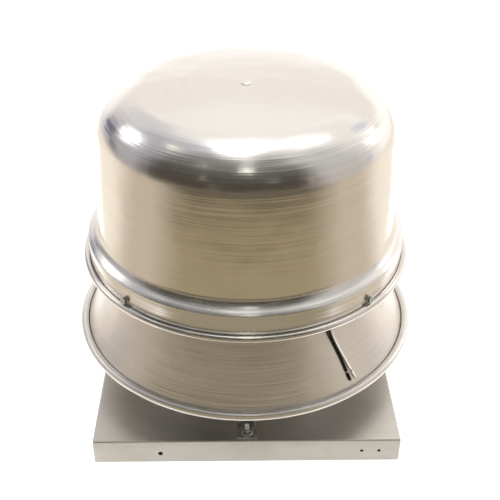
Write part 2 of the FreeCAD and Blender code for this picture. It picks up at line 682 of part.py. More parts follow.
def make_bracket(label, turn):
    foot = shroudScrewRadius - s.bracketFoot / 2
    riser = foot + s.bracketFoot
    shelf = flangeTop + s.bracketRise
    path = bent([(foot, flangeTop + s.bracketSheet), (riser, flangeTop + s.bracketSheet), (riser, shelf),
                 (bracketTab, shelf), (bracketTab, coverBoltHeight + s.bracketTabRise)], [s.bracketBend] * 3)
    strap = doc.addObject("Part::Extrusion", f"{label}_strap")
    strap.Base = bent_strip(label, path, -s.bracketSheet)
    strap.DirMode = "Custom"
    strap.Dir = (0, 1, 0)
    strap.LengthFwd = s.bracketWidth.value
    strap.setExpression("LengthFwd", s.bracketWidth.text)
    strap.Symmetric = True
    strap.Solid = True
    screw = rod(f"{label}_screw_hole", s.screwWidth + 2 * s.holeGap, 6 * s.bracketSheet,
                (shroudScrewRadius, flangeTop - 2 * s.bracketSheet))
    bolt = rod(f"{label}_bolt_hole", s.coverBoltWidth + 2 * s.holeGap, 6 * s.bracketSheet,
               (bracketTab - 2 * s.bracketSheet, coverBoltHeight), tilt=90)
    return cut(label, strap, [screw, bolt], turn)


def make_cover_bolts():
    body = new_body("cover_bolts", 45)
    radius, height, face = s.coverBoltWidth / 2, coverBoltHeight, coverBand
    shank = turn_about_line(body, rectangle(face - s.coverBoltLength, height, face, height + radius),
                            (face - s.coverBoltLength, height), (face, height))
    seat = face + s.coverBoltCollar
    collar = turn_about_line(body, rectangle(face, height, seat, height + s.coverBoltFlange / 2),
                             (face, height), (seat, height))
    corners = s.coverBoltHex / 2 / cosine(30)
    head = pad(body, "YZ", polygon(*[(corners * cosine(60 * i), height + corners * sine(60 * i))
                                     for i in range(6)]), s.coverBoltHead, seat)
    around(body, [shank, collar, head], 4)
    clip = new_body("cover_clip_nuts", 45)
    half = s.clipNutWidth / 2
    inside = bracketTab - s.clipNutDepth
    square = rectangle(-half, height - half, half, height + half)
    nut = pad(clip, "YZ", square + [circle((0, height), radius + s.holeGap / 2)],
              s.clipNutDepth - s.seatGap, inside)
    around(clip, [nut], 4)


# Motor mount: a steel disc on four rubber isolators above the motor plate

def make_mount():
    body = new_body("motor_mount", 45)
    bottom = mountBottom
    rim = s.isolatorRadius + s.mountRim
    pad(body, "XY", [circle((0, 0), rim), circle((0, 0), s.mountHole / 2)], s.mountSheet, bottom)
    holes = pocket(body, "XY", [circle((s.isolatorRadius, 0), s.studWidth / 2 + s.holeGap),
                                circle((tieBoltRadius, 0), s.tieBoltWidth / 2 + s.holeGap)],
                   2 * s.mountSheet, bottom + s.mountSheet)
    around(body, [holes], 4)
    bore = s.studWidth + s.holeGap
    washers("vibration_mounts", s.isolatorRadius, s.isolatorWidth, bore, plateTop, s.isolatorHeight, 4,
            turn=45)
    nutBottom = plateBottom - s.hexHeight
    fastener("isolator_bolts", s.isolatorRadius, s.studWidth, nutBottom - s.boltTail, motorFoot, s.hexWidth,
             motorFoot, s.hexHeadHeight, 4, turn=45)
    hex_nuts("isolator_nuts", s.isolatorRadius, s.hexWidth, bore, nutBottom, s.hexHeight, 4, turn=45)


# Motor: two cast end bells, a steel shell, stator, bearings and tie bolts

def bell_outline(floor, up):
    """The half section of an end bell whose floor is at the height floor and opens along up."""
    def at(radius, rise):
        return (radius, floor + up * rise)

    spigot = s.motorRadius - s.shellSheet - s.seatGap
    spigotEnd = s.bellSkirt + s.bellSpigot
    wall = s.motorRadius - s.bellWall
    boss, bearing, relief = s.bossWidth / 2, s.bearingWidth / 2, s.shaftRelief / 2
    seat = s.bossHeight - s.bearingDepth
    return polygon(at(relief, 0), at(s.motorRadius - s.bellChamfer, 0), at(s.motorRadius, s.bellChamfer),
                   at(s.motorRadius, s.bellSkirt), at(spigot, s.bellSkirt), at(spigot, spigotEnd),
                   at(wall, spigotEnd), at(wall, s.bellFloor), at(boss, s.bellFloor),
                   at(boss, s.bossHeight), at(bearing, s.bossHeight), at(bearing, seat), at(relief, seat))


def make_bell(label, floor, up, vents):
    body = turned(label, bell_outline(floor, up), 45)
    low = floor if up > 0 else floor - s.motorRadius
    ties = pocket(body, "XY", [circle((tieBoltRadius, 0), s.tieBoltWidth / 2 + s.holeGap)],
                  2 * s.motorRadius, low + s.motorRadius)
    around(body, [ties], 4)
    if vents:
        holes = pocket(body, "XY", [circle((s.bellVentRadius, 0), s.bellVentWidth / 2)],
                       2 * s.bellFloor, floor + s.bellFloor if up > 0 else floor)
        around(body, [holes], s.bellVents)
    return body


def make_motor():
    make_bell("motor_lower_bell", motorFoot, 1, False)
    make_bell("motor_upper_bell", motorTop, -1, True)
    low, high = motorFoot + s.bellSkirt, motorTop - s.bellSkirt
    shell = turned("motor_shell", rectangle(s.motorRadius - s.shellSheet, low, s.motorRadius, high),
                   s.leadTurn.value)
    pocket(shell, "YZ", [circle((0, leadHeight), s.leadHole / 2)], 3 * s.shellSheet,
           s.motorRadius + s.shellSheet)
    coreBottom = motorFoot + s.coreStart
    coreTop = coreBottom + s.coreLength
    coreOuter = s.motorRadius - s.shellSheet - s.seatGap
    core = new_body("stator_core", 45)
    pad(core, "XY", [circle((0, 0), coreOuter), circle((0, 0), boreRadius)], s.coreLength, coreBottom)
    notch = pocket(core, "XY", [circle((tieBoltRadius, 0), s.tieBoltWidth / 2 + s.holeGap)],
                   2 * s.coreLength, coreTop)
    around(core, [notch], 4)
    slotStart = boreRadius - s.cutSpare
    half = s.slotWidth / 2
    slot = pocket(core, "XY", rectangle(slotStart, -half, slotStart + s.slotDepth, half),
                  2 * s.coreLength, coreTop)
    around(core, [slot], s.slotCount)
    coils = new_body("stator_windings")
    for bottom in (coreBottom - s.windingHeight, coreTop):
        turn_about_z(coils, rectangle(boreRadius + s.windingGap, bottom, s.motorRadius - s.bellWall,
                                      bottom + s.windingHeight))
    boltBottom = mountBottom - s.hexHeight
    fastener("tie_bolts", tieBoltRadius, s.tieBoltWidth, boltBottom, motorTop, s.tieBoltHex, motorTop,
             s.tieBoltHeadHeight, 4, turn=45)
    hex_nuts("tie_nuts", tieBoltRadius, s.tieBoltHex, s.tieBoltWidth + s.holeGap,
             mountBottom - s.tieBoltHeadHeight, s.tieBoltHeadHeight, 4, turn=45)
    for label, bottom in (("lower_bearing", motorFoot + s.bossHeight - s.bearingDepth),
                          ("upper_bearing", motorTop - s.bossHeight)):
        turned(label, rectangle(shaftRadius + s.runningGap, bottom, s.bearingWidth / 2 - s.seatGap / 2,
                                bottom + s.bearingDepth))
    grommet = new_body("lead_grommet", s.leadTurn.value)
    inner, outer = s.motorRadius - s.shellSheet, s.motorRadius
    bore, lip = s.leadHole / 2 - s.seatGap, s.leadGrommet / 2
    up = leadHeight
    seatIn, seatOut = inner - s.grommetGap, outer + s.grommetGap
    faceIn, faceOut = seatIn - s.grommetLip, seatOut + s.grommetLip
    turn_about_line(grommet, polygon(
        (faceIn, up), (faceOut, up), (faceOut, up + lip), (seatOut, up + lip), (seatOut, up + bore),
        (seatIn, up + bore), (seatIn, up + lip), (faceIn, up + lip)), (faceIn, up), (faceOut, up))
    return coreBottom, coreTop


# Rotating parts: shaft, rotor, hub and the wheel with backward-curved blades

def make_rotor(coreBottom, coreTop):
    tip, top, low = shaftRadius - s.shaftChamfer, motorTop - s.shaftTopInset, backBottom - s.shaftDrop
    shaft = turned("motor_shaft", polygon((0, low), (tip, low), (shaftRadius, low + s.shaftChamfer),
                                          (shaftRadius, top - s.shaftChamfer), (tip, top), (0, top)))
    pocket(shaft, "XY", rectangle(shaftRadius - s.shaftFlat, -shaftRadius, s.shaftWidth, shaftRadius),
           s.shaftFlatLength, low + s.shaftFlatLength)
    turned("rotor_core", rectangle(shaftRadius + s.pressGap, coreBottom, boreRadius - s.airGap,
                                   coreTop))


def make_hub():
    bore = shaftRadius + s.pressGap
    boss = s.hubBoss / 2
    body = turned("wheel_hub", polygon((bore, backBottom - s.hubDrop), (boss, backBottom - s.hubDrop),
                                       (boss, backTop), (s.hubFlange / 2, backTop),
                                       (s.hubFlange / 2, backTop + s.hubFlangeHeight),
                                       (boss, backTop + s.hubFlangeHeight), (boss, backTop + s.hubRise),
                                       (bore, backTop + s.hubRise)))
    rivets = pocket(body, "XY", [circle((s.hubRivetRadius, 0), s.rivetWidth / 2 + s.holeGap)],
                    2 * s.hubFlangeHeight, backTop + s.hubFlangeHeight)
    around(body, [rivets], s.hubRivets)
    screws = pocket(body, "YZ", [circle((0, backTop + s.setScrewHeight), s.setScrewWidth / 2 + s.seatGap)],
                    boss + s.cutSpare, boss + s.cutSpare)
    ring = body.newObject("PartDesign::PolarPattern", "wheel_hub_screws")
    ring.Originals = [screws]
    ring.Axis = (role(body, "Z_Axis"), [""])
    ring.Angle = 90
    ring.Occurrences = 2
    body.Tip = ring
    top = backTop + s.hubFlangeHeight
    tail = backBottom - s.rivetTailHeight
    fastener("hub_rivets", s.hubRivetRadius, s.rivetWidth, tail, top, s.rivetHead, top,
             s.rivetHeadHeight, s.hubRivets, flange=(tail, backBottom, s.rivetTail), hex_head=False)
    screw = new_body("hub_setscrews")
    up = backTop + s.setScrewHeight
    start = shaftRadius + s.seatGap
    end = start + s.setScrewLength
    half = s.setScrewWidth / 2
    shank = turn_about_line(screw, rectangle(start, up, end, up + half), (start, up), (end, up))
    half = s.setScrewHead / 2
    head = pad(screw, "YZ", rectangle(-half, up - half, half, up + half), s.setScrewHeadHeight,
               end - s.setScrewHeadHeight / 2)
    pair = screw.newObject("PartDesign::PolarPattern", "hub_setscrews_pair")
    pair.Originals = [shank, head]
    pair.Axis = (role(screw, "Z_Axis"), [""])
    pair.Angle = 90
    pair.Occurrences = 2
    screw.Tip = pair


def cone_height(radius):
    """Height of the wheel cone's upper face at a radius."""
    return coneStart + (radius - eyeRadius) * (coneEnd - coneStart) / (s.wheelRadius - eyeRadius)


def make_wheel():
    plate = new_body("wheel_backplate")
    pad(plate, "XY", [circle((0, 0), s.wheelRadius), circle((0, 0), s.hubBoss / 2 + s.seatGap)],
        s.wheelSheet, backBottom)
    rivets = pocket(plate, "XY", [circle((s.hubRivetRadius, 0), s.rivetWidth / 2 + s.holeGap)],
                    2 * s.wheelSheet, backTop)
    around(plate, [rivets], s.hubRivets)
    path = bent([(eyeRadius, throatTop - s.eyeDip), (eyeRadius, coneStart), (s.wheelRadius, coneEnd)],
                [s.coneBend])
    ring = spun("wheel_cone", path, -s.wheelSheet)
    ring.Label = "wheel_cone"
    for i in range(int(s.bladeCount.value)):
        make_blade(f"wheel_blade_{i + 1}", 360 * i / s.bladeCount.value)


def make_blade(label, turn):
    """A plate curved back from the inner to the outer radius, resting on the cone and under the backplate."""
    body = new_body(label, turn)
    outer = s.wheelRadius - s.bladeInset
    heel = (eyeRadius + s.bladeSetback, as_size(0))
    tip = (outer * cosine(s.bladeSweep), outer * sine(s.bladeSweep))
    chord = (tip[0] - heel[0], tip[1] - heel[1])
    length = root(chord[0] * chord[0] + chord[1] * chord[1])
    rise = root(s.bladeCurve * s.bladeCurve - length * length / 4)
    centre = ((heel[0] + tip[0]) / 2 - chord[1] / length * rise,
              (heel[1] + tip[1]) / 2 + chord[0] / length * rise)
    grow = (s.bladeCurve + s.wheelSheet) / s.bladeCurve
    heelOut = (centre[0] + (heel[0] - centre[0]) * grow, centre[1] + (heel[1] - centre[1]) * grow)
    tipOut = (centre[0] + (tip[0] - centre[0]) * grow, centre[1] + (tip[1] - centre[1]) * grow)
    middle = (centre[0].value, centre[1].value)
    near = SimpleNamespace(kind="arc", first=heel, last=tip, radius=s.bladeCurve,
                           centre=middle, clockwise=False)
    far = SimpleNamespace(kind="arc", first=tipOut, last=heelOut, radius=s.bladeCurve + s.wheelSheet,
                          centre=middle, clockwise=True)
    low = coneStart
    pad(body, "XY", [near, line(tip, tipOut), far, line(heelOut, heel)],
        backBottom - s.seatGap - low, low)
    inside, outside = eyeRadius + s.cutSpare, s.wheelRadius + s.cutSpare
    turn_about_z(body, polygon((inside, low - s.cutSpare), (outside, low - s.cutSpare),
                               (outside, cone_height(outside) + s.seatGap),
                               (inside, cone_height(inside) + s.seatGap)), kind="Groove")


# Leads: two insulated wires from the motor's grommet over the shroud's shoulder and down its wall

blackRoute = [
    (37.8, -64.4, 294.0), (47.2, -79.2, 294.0), (56.9, -95.6, 287.0), (67.4, -111.5, 274.0),
    (77.7, -127.3, 261.5), (87.5, -143.4, 254.0), (97.7, -159.4, 252.0), (107.6, -173.0, 254.2),
    (116.9, -185.0, 251.6), (124.0, -192.8, 238.8), (128.2, -193.9, 218.6), (140.6, -199.2, 191.7),
    (149.2, -204.2, 174.6), (156.4, -210.4, 158.7)]
whiteRoute = [
    (41.3, -62.2, 294.0), (50.6, -77.1, 294.0), (61.5, -93.4, 286.5), (72.6, -110.1, 273.0),
    (83.1, -126.1, 260.0), (93.3, -142.2, 253.5), (103.9, -157.9, 252.0), (113.2, -171.2, 254.2),
    (122.2, -183.3, 251.3), (129.0, -191.1, 238.0), (132.8, -193.0, 216.0), (143.0, -195.7, 194.8),
    (152.8, -199.9, 177.0), (163.4, -205.1, 158.6)]
bendShare = 0.45  # of the shorter run beside a bend


def make_lead(label, route):
    """An insulated wire: straight runs joined by the largest arcs that they leave room for."""
    points = [FreeCAD.Vector(*p) for p in route]
    edges, here, radii = [], points[0], []
    for before, corner, after in zip(points, points[1:], points[2:]):
        inward = (corner - before).normalize()
        onward = (after - corner).normalize()
        turn = inward.getAngle(onward)
        setback = bendShare * min((corner - before).Length, (after - corner).Length)
        radius = setback / math.tan(turn / 2)
        start, end = corner - inward * setback, corner + onward * setback
        aside = (onward - inward).normalize()
        middle = corner + aside * (radius / math.cos(turn / 2) - radius)
        edges += [Part.LineSegment(here, start).toShape(), Part.Arc(start, middle, end).toShape()]
        radii.append(round(radius, 1))
        here = end
    edges.append(Part.LineSegment(here, points[-1]).toShape())
    path = Part.Wire(edges)
    width = sizes["leadWidth"]
    ring = Part.Wire(Part.Circle(points[0], points[1] - points[0], width / 2).toShape())
    tube = path.makePipeShell([ring], True, False)
    lead = doc.addObject("Part::Feature", label)
    lead.Shape = tube
    straight = math.pi * width ** 2 / 4 * path.Length
    print(label, "radii", min(radii), "to", max(radii), "length", round(path.Length, 1),
          "volume against section times length", round(tube.Volume / straight, 4))
    make_lead_end(f"{label}_end", points[-1], (points[-1] - points[-2]).normalize(), width)


def make_lead_end(label, start, along, width):
    """The bare conductor past the insulation, with the loose slug of insulation still on it."""
    gap, slug, tip = sizes["bareGap"], sizes["slugLength"], sizes["tipLength"]
    wire = Part.makeCylinder(sizes["wireWidth"] / 2, gap + slug + tip, start, along)
    sleeve = Part.makeCylinder(width / 2, slug, start + along * gap, along)
    end = doc.addObject("Part::Feature", label)
    end.Shape = wire.fuse(sleeve).removeSplitter()


make_curb_cap()
make_venturi()
make_venturi_rivets()
for side, angle in leftTurns.items():
    make_leg(f"support_leg_{side}", angle)
make_leg_fasteners()
make_motor_plate()
make_shroud()
make_mount()
coreBottom, coreTop = make_motor()
make_rotor(coreBottom, coreTop)
make_hub()
make_wheel()
for corner, angle in cornerTurns.items():
    make_bracket(f"cover_bracket_{corner}", angle)
make_cover_bolts()
make_cover()
make_lead("lead_black", blackRoute)
make_lead("lead_white", whiteRoute)
doc.recompute()

# Each node is one object of the document, and its Label names its file
nodes = [o for o in doc.Objects if o.TypeId in ("PartDesign::Body", "Part::Cut", "Part::Feature")
         or o.Label == "wheel_cone"]
for thing in doc.Objects:
    if "Invalid" in thing.State or "Error" in thing.State:
        raise RuntimeError(f"{thing.Label} did not recompute: {thing.State}")
for node in nodes:
    if node.Shape.isNull() or not node.Shape.isValid() or not node.Shape.Solids:
        raise RuntimeError(f"{node.Label} has no valid solid")

os.makedirs("parts", exist_ok=True)
for node in nodes:
    node.Shape.exportStep(f"parts/{node.Label}.step")
    print(node.Label, len(node.Shape.Solids), "solids", round(node.Shape.Volume / 1000, 2), "cm3")
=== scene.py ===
import json
import math

import bmesh
import bpy
from mathutils import Matrix, Vector


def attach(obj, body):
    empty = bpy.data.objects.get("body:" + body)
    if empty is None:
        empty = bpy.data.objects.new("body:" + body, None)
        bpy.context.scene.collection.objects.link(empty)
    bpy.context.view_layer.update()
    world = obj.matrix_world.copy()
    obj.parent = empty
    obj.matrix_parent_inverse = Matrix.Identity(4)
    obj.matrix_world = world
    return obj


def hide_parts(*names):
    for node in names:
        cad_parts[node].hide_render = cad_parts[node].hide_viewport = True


# Rooftop exhaust fan: two spinnings over a square cap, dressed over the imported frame.
# The fan's lengths are millimetres, those of its finishes, the camera and the studio metres.
# The front is -Y and z is 0 at the skirt's lower edge.

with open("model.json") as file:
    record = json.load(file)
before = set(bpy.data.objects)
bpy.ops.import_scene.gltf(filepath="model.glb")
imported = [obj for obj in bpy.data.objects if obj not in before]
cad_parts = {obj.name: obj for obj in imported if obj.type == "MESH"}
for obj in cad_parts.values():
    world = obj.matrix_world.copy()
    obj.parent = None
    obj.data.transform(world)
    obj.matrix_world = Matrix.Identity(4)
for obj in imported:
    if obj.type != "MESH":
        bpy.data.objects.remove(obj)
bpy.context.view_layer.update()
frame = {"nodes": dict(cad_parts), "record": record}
mm = 0.001
print("frame loaded:", len(frame["nodes"]), "nodes")


# Working in edit mode

modelling = {"startSize": 0.001, "spinSteps": 192, "mergeWithin": 0.00002, "screwMergeWithin": 0.00001,
             "facing": 0.99, "topShare": 0.9}
smoothing = {"rod": 35, "sheet": 50, "turned": 40, "hex": 25, "collar": 30, "folded": 35}  # degrees


def dropSelection():
    for thing in bpy.context.selected_objects:
        thing.select_set(False)


def choose(thing):
    dropSelection()
    thing.select_set(True)
    bpy.context.view_layer.objects.active = thing


def editMode(on=True):
    bpy.ops.object.mode_set(mode="EDIT" if on else "OBJECT")


def addPrimitive(name, operator, **settings):
    dropSelection()
    operator(**settings)
    thing = bpy.context.object
    thing.name = name
    thing.data.name = name
    return thing


def addCylinder(name, sides, radius, depth, **settings):
    return addPrimitive(name, bpy.ops.mesh.primitive_cylinder_add, vertices=sides, radius=radius * mm,
                        depth=depth * mm, **settings)


def startPicking(thing):
    mesh = bmesh.from_edit_mesh(thing.data)
    for part in (mesh.verts, mesh.edges, mesh.faces):
        for item in part:
            item.select = False
    return mesh


def pickFaces(thing, test):
    for face in startPicking(thing).faces:
        if test(face):
            face.select_set(True)
    bmesh.update_edit_mesh(thing.data)


def pickEdges(thing, test):
    for edge in startPicking(thing).edges:
        if test(edge.verts[0].co, edge.verts[1].co):
            edge.select_set(True)
    bmesh.update_edit_mesh(thing.data)


def applyModifier(thing, kind, **settings):
    choose(thing)
    made = thing.modifiers.new(kind.title(), kind)
    for key, value in settings.items():
        setattr(made, key, value)
    bpy.ops.object.modifier_apply(modifier=made.name)


def cutWith(thing, tool, operation="DIFFERENCE"):
    applyModifier(thing, "BOOLEAN", operation=operation, object=tool, solver="EXACT")
    bpy.data.objects.remove(tool)


def smoothBy(thing, degrees):
    choose(thing)
    bpy.ops.object.shade_smooth_by_angle(angle=math.radians(degrees))


def placeMesh(thing, matrix):
    thing.data.transform(matrix)
    thing.data.update()


def copyMesh(thing, name, matrix):
    twin = bpy.data.objects.new(name, thing.data.copy())
    bpy.context.collection.objects.link(twin)
    placeMesh(twin, matrix)
    return twin


def joinAll(name, things):
    dropSelection()
    for thing in things:
        thing.select_set(True)
    bpy.context.view_layer.objects.active = things[0]
    bpy.ops.object.join()
    things[0].name = name
    things[0].data.name = name
    return things[0]


def turnAbout(degrees, axis="Z"):
    return Matrix.Rotation(math.radians(degrees), 4, axis)


def shift(x, y, z):
    return Matrix.Translation((x * mm, y * mm, z * mm))


def arcPoints(centre, radius, start, end, count):
    angles = [math.radians(start + (end - start) * i / count) for i in range(count + 1)]
    return [(centre[0] + radius * math.cos(a), centre[1] + radius * math.sin(a)) for a in angles]


def filletPoints(before, corner, after, radius, count):
    corner = Vector(corner)
    inward = (corner - Vector(before)).normalized()
    onward = (Vector(after) - corner).normalized()
    setback = radius * math.tan(inward.angle(onward) / 2)
    start, end = corner - inward * setback, corner + onward * setback
    middle = corner + (onward - inward).normalized() * (radius / math.cos(inward.angle(onward) / 2))
    low, high = start - middle, end - middle
    turn = low.angle_signed(high)  # positive runs clockwise
    first = math.degrees(math.atan2(low.y, low.x))
    return arcPoints(middle, radius, first, first - math.degrees(turn), count)


def between(first, last, count):
    return [(first[0] + (last[0] - first[0]) * k / count, first[1] + (last[1] - first[1]) * k / count)
            for k in range(1, count)]


# One point in edit mode, for extruding
def startPoint(name, place):
    thing = addPrimitive(name, bpy.ops.mesh.primitive_plane_add, size=modelling["startSize"])
    editMode()
    bpy.ops.mesh.merge(type="CENTER")
    bpy.ops.transform.translate(value=place)
    return thing


def extrudeBy(step):
    bpy.ops.mesh.extrude_region_move(TRANSFORM_OT_translate={"value": step})


def spinAll(steps, degrees=360):
    bpy.ops.mesh.select_all(action="SELECT")
    bpy.ops.mesh.spin(steps=steps, angle=math.radians(degrees), center=(0, 0, 0), axis=(0, 0, 1))


# A profile of (radius, height) points, extruded point by point and spun about the Z axis
def spinProfile(name, profile, steps=modelling["spinSteps"]):
    thing = startPoint(name, (profile[0][0] * mm, 0, profile[0][1] * mm))
    for here, onward in zip(profile, profile[1:]):
        extrudeBy(((onward[0] - here[0]) * mm, 0, (onward[1] - here[1]) * mm))
    spinAll(steps)
    bpy.ops.mesh.select_all(action="SELECT")
    bpy.ops.mesh.remove_doubles(threshold=modelling["mergeWithin"])
    bpy.ops.mesh.normals_make_consistent(inside=False)
    editMode(False)
    return thing


def faceUp(thing):
    top = max(thing.data.polygons, key=lambda face: face.center.z)
    if top.normal.z < 0:
        choose(thing)
        editMode()
        bpy.ops.mesh.select_all(action="SELECT")
        bpy.ops.mesh.flip_normals()
        editMode(False)


# Camera at the photograph's place

camera = {"location": (-0.01960, -1.23440, 1.06802), "turn": -1.2586, "tilt": 56.4021, "roll": 0.4693,
          "lens": 62.464, "sensor": 36.0}


def makeCamera():
    lens = bpy.data.cameras.new("camera")
    lens.lens = camera["lens"]
    lens.sensor_width = camera["sensor"]
    thing = bpy.data.objects.new("camera", lens)
    bpy.context.collection.objects.link(thing)
    thing.matrix_world = (Matrix.Translation(camera["location"]) @ turnAbout(camera["turn"])
                          @ turnAbout(camera["tilt"], "X") @ turnAbout(camera["roll"]))
    bpy.context.scene.camera = thing
    bpy.context.scene.view_settings.view_transform = "Standard"


makeCamera()
print("camera placed")


# Node trees

def addNode(tree, kind, inputs=None, **settings):
    made = tree.nodes.new(kind)
    for key, value in settings.items():
        setattr(made, key, value)
    for key, value in (inputs or {}).items():
        if isinstance(value, bpy.types.NodeSocket):
            tree.links.new(value, made.inputs[key])
        else:
            made.inputs[key].default_value = value
    return made


def calc(tree, operation, first, second=0.0, third=0.0):
    made = addNode(tree, "ShaderNodeMath", {0: first, 1: second, 2: third}, operation=operation)
    return made.outputs[0]


def remap(tree, value, low, high, toLow=0.0, toHigh=1.0, smooth=False):
    made = addNode(tree, "ShaderNodeMapRange", {"Value": value, "From Min": low, "From Max": high,
                                                "To Min": toLow, "To Max": toHigh})
    made.interpolation_type = "SMOOTHSTEP" if smooth else "LINEAR"
    return made.outputs["Result"]


def mixColour(tree, share, first, second, blend="MIX"):
    made = tree.nodes.new("ShaderNodeMix")
    made.data_type = "RGBA"
    made.blend_type = blend
    for socket, value in ((made.inputs[0], share), (made.inputs[6], first), (made.inputs[7], second)):
        if isinstance(value, bpy.types.NodeSocket):
            tree.links.new(value, socket)
        elif isinstance(value, tuple):
            socket.default_value = (*value, 1.0)
        else:
            socket.default_value = value
    return made.outputs[2]


def ramp(tree, value, stops):
    made = addNode(tree, "ShaderNodeValToRGB", {"Fac": value})
    band = made.color_ramp
    while len(band.elements) < len(stops):
        band.elements.new(0.5)
    for element, (place, colour) in zip(band.elements, stops):
        element.position = place
        element.color = (*colour, 1.0)
    return made.outputs["Color"]


def newMaterial(name, finish):
    material = bpy.data.materials.new(name)
    material.use_nodes = True
    tree = material.node_tree
    shader = tree.nodes["Principled BSDF"]
    for key, value in finish.items():
        shader.inputs[key].default_value = value
    return material, tree, shader


def startGroup(name, inputs, outputs):
    tree = bpy.data.node_groups.new(name, "ShaderNodeTree")
    for label, value in inputs.items():
        tree.interface.new_socket(label, in_out="INPUT", socket_type="NodeSocketFloat").default_value = value
    for label in outputs:
        tree.interface.new_socket(label, in_out="OUTPUT", socket_type="NodeSocketFloat")
    return tree, tree.nodes.new("NodeGroupInput"), tree.nodes.new("NodeGroupOutput")


def objectPlace(tree):
    return addNode(tree, "ShaderNodeTexCoord").outputs["Object"]


def splitVector(tree, vector):
    return addNode(tree, "ShaderNodeSeparateXYZ", {0: vector}).outputs


def vectorCalc(tree, operation, *vectors):
    made = addNode(tree, "ShaderNodeVectorMath", dict(enumerate(vectors)), operation=operation)
    return made.outputs["Value" if operation in ("LENGTH", "DOT_PRODUCT") else "Vector"]


def noiseFactor(tree, where, scale, detail, roughness=0.5):
    made = addNode(tree, "ShaderNodeTexNoise", {"Vector": where, "Scale": scale, "Detail": detail,
                                                "Roughness": roughness})
    return made.outputs["Fac"]


def finishSurface(tree, shader, base, rough, relief, distance=1.0, strength=1.0):
    bump = addNode(tree, "ShaderNodeBump", {"Height": relief, "Strength": strength, "Distance": distance})
    for label, value in (("Base Color", base), ("Roughness", rough), ("Normal", bump.outputs[0])):
        tree.links.new(value, shader.inputs[label])


# Rings left by the spinning tool: noise that is stretched round the Z axis and has no seam
toolRings = {"width": 0.001, "broad": 0.012, "least": 0.0001, "roughness": 0.6, "wobble": (9.0, 2.0),
             "kinds": (("Fine", "Width", 1.1, 1.5), ("Bands", "Broad", 0.35, 2.0))}


def makeSpinRings():
    tree, given, result = startGroup("spinRings", {"Width": toolRings["width"], "Broad": toolRings["broad"]},
                                     ("Fine", "Bands", "Wobble"))
    place = objectPlace(tree)
    x, y, z = splitVector(tree, place)
    radius = calc(tree, "SQRT", calc(tree, "ADD", calc(tree, "MULTIPLY", x, x), calc(tree, "MULTIPLY", y, y)))
    safe = calc(tree, "MAXIMUM", radius, toolRings["least"])
    cosine, sine = calc(tree, "DIVIDE", x, safe), calc(tree, "DIVIDE", y, safe)
    for label, width, swing, detail in toolRings["kinds"]:
        across = calc(tree, "DIVIDE", radius, given.outputs[width])
        up = calc(tree, "DIVIDE", z, given.outputs[width])
        aside, ahead = calc(tree, "MULTIPLY", cosine, swing), calc(tree, "MULTIPLY", sine, swing)
        where = addNode(tree, "ShaderNodeCombineXYZ", {0: across, 1: up, 2: aside}).outputs[0]
        noise = addNode(tree, "ShaderNodeTexNoise", {
            "Vector": where, "W": ahead, "Scale": 1.0, "Detail": detail,
            "Roughness": toolRings["roughness"]}, noise_dimensions="4D")
        tree.links.new(noise.outputs["Fac"], result.inputs[label])
    tree.links.new(noiseFactor(tree, place, *toolRings["wobble"]), result.inputs["Wobble"])
    return tree


# Fine scratches in three directions, smudges that dull a bright surface, and specks of dirt
handling = {"size": 60.0, "detail": 1.0, "directions": ((0.35, 30.0), (1.5, 22.0), (-0.8, 26.0)),
            "lean": 0.7, "scratch": (0.70, 0.76), "smudgeNoise": (14.0, 5.0, 0.65), "smudge": (0.35, 0.72),
            "speckNoise": (700.0, 1.0), "speck": (0.66, 0.74)}


def makeHandling():
    tree, given, result = startGroup("handlingMarks", {"Size": handling["size"]},
                                     ("Scratches", "Smudges", "Specks"))
    place = objectPlace(tree)
    lines = 0.0
    for turn, stretch in handling["directions"]:
        mapped = addNode(tree, "ShaderNodeMapping", {"Vector": place, "Scale": (1.0, stretch, stretch),
                                                     "Rotation": (turn, turn * handling["lean"], turn)})
        noise = noiseFactor(tree, mapped.outputs[0], given.outputs["Size"], handling["detail"])
        lines = calc(tree, "MAXIMUM", remap(tree, noise, *handling["scratch"]), lines)
    smudges = noiseFactor(tree, place, *handling["smudgeNoise"])
    specks = noiseFactor(tree, place, *handling["speckNoise"])
    tree.links.new(lines, result.inputs["Scratches"])
    tree.links.new(remap(tree, smudges, *handling["smudge"]), result.inputs["Smudges"])
    tree.links.new(remap(tree, specks, *handling["speck"]), result.inputs["Specks"])
    return tree


spinRings = makeSpinRings()
handlingMarks = makeHandling()


# Materials

# relief is the share of the lines' depth by height over the range in heights, so that the crown
# stays calm. It goes through a ramp halved, because a ramp's colours end at 1.
# shoulder is where the cover's shoulder, worked more, starts and ends being rougher
spunFinish = {"name": "spunAluminium", "colour": (0.86, 0.825, 0.775), "dull": (0.81, 0.77, 0.715),
              "roughness": 0.17, "anisotropy": 0.6, "grainTurn": 0.25, "lineWidth": 0.0042,
              "bandWidth": 0.013, "lineDepth": 0.00032, "bandDepth": 0.0003, "wobbleDepth": 0.0025,
              "bandTone": 0.4, "lineTone": 0.6, "middleTone": 0.47, "tones": (0.3, 0.6),
              "scratch": (0.93, 0.92, 0.90), "scratchShare": 0.35, "speck": (0.45, 0.42, 0.38),
              "speckShare": 0.15, "lineRoughness": 0.12, "smudgeRoughness": 0.06, "smudgedLines": (0.6, 1.3),
              "shoulder": (0.300, 0.304, 0.314, 0.322), "shoulderRougher": 0.08, "heights": (0.45, 0.55),
              "relief": [(0.0, 0.75), (0.25, 0.9), (0.45, 1.7), (0.72, 1.6), (0.93, 0.2)]}
shroudFinish = dict(spunFinish, name="shroudAluminium", roughness=0.32, anisotropy=0.4, lineDepth=0.0007,
                    bandDepth=0.0006)


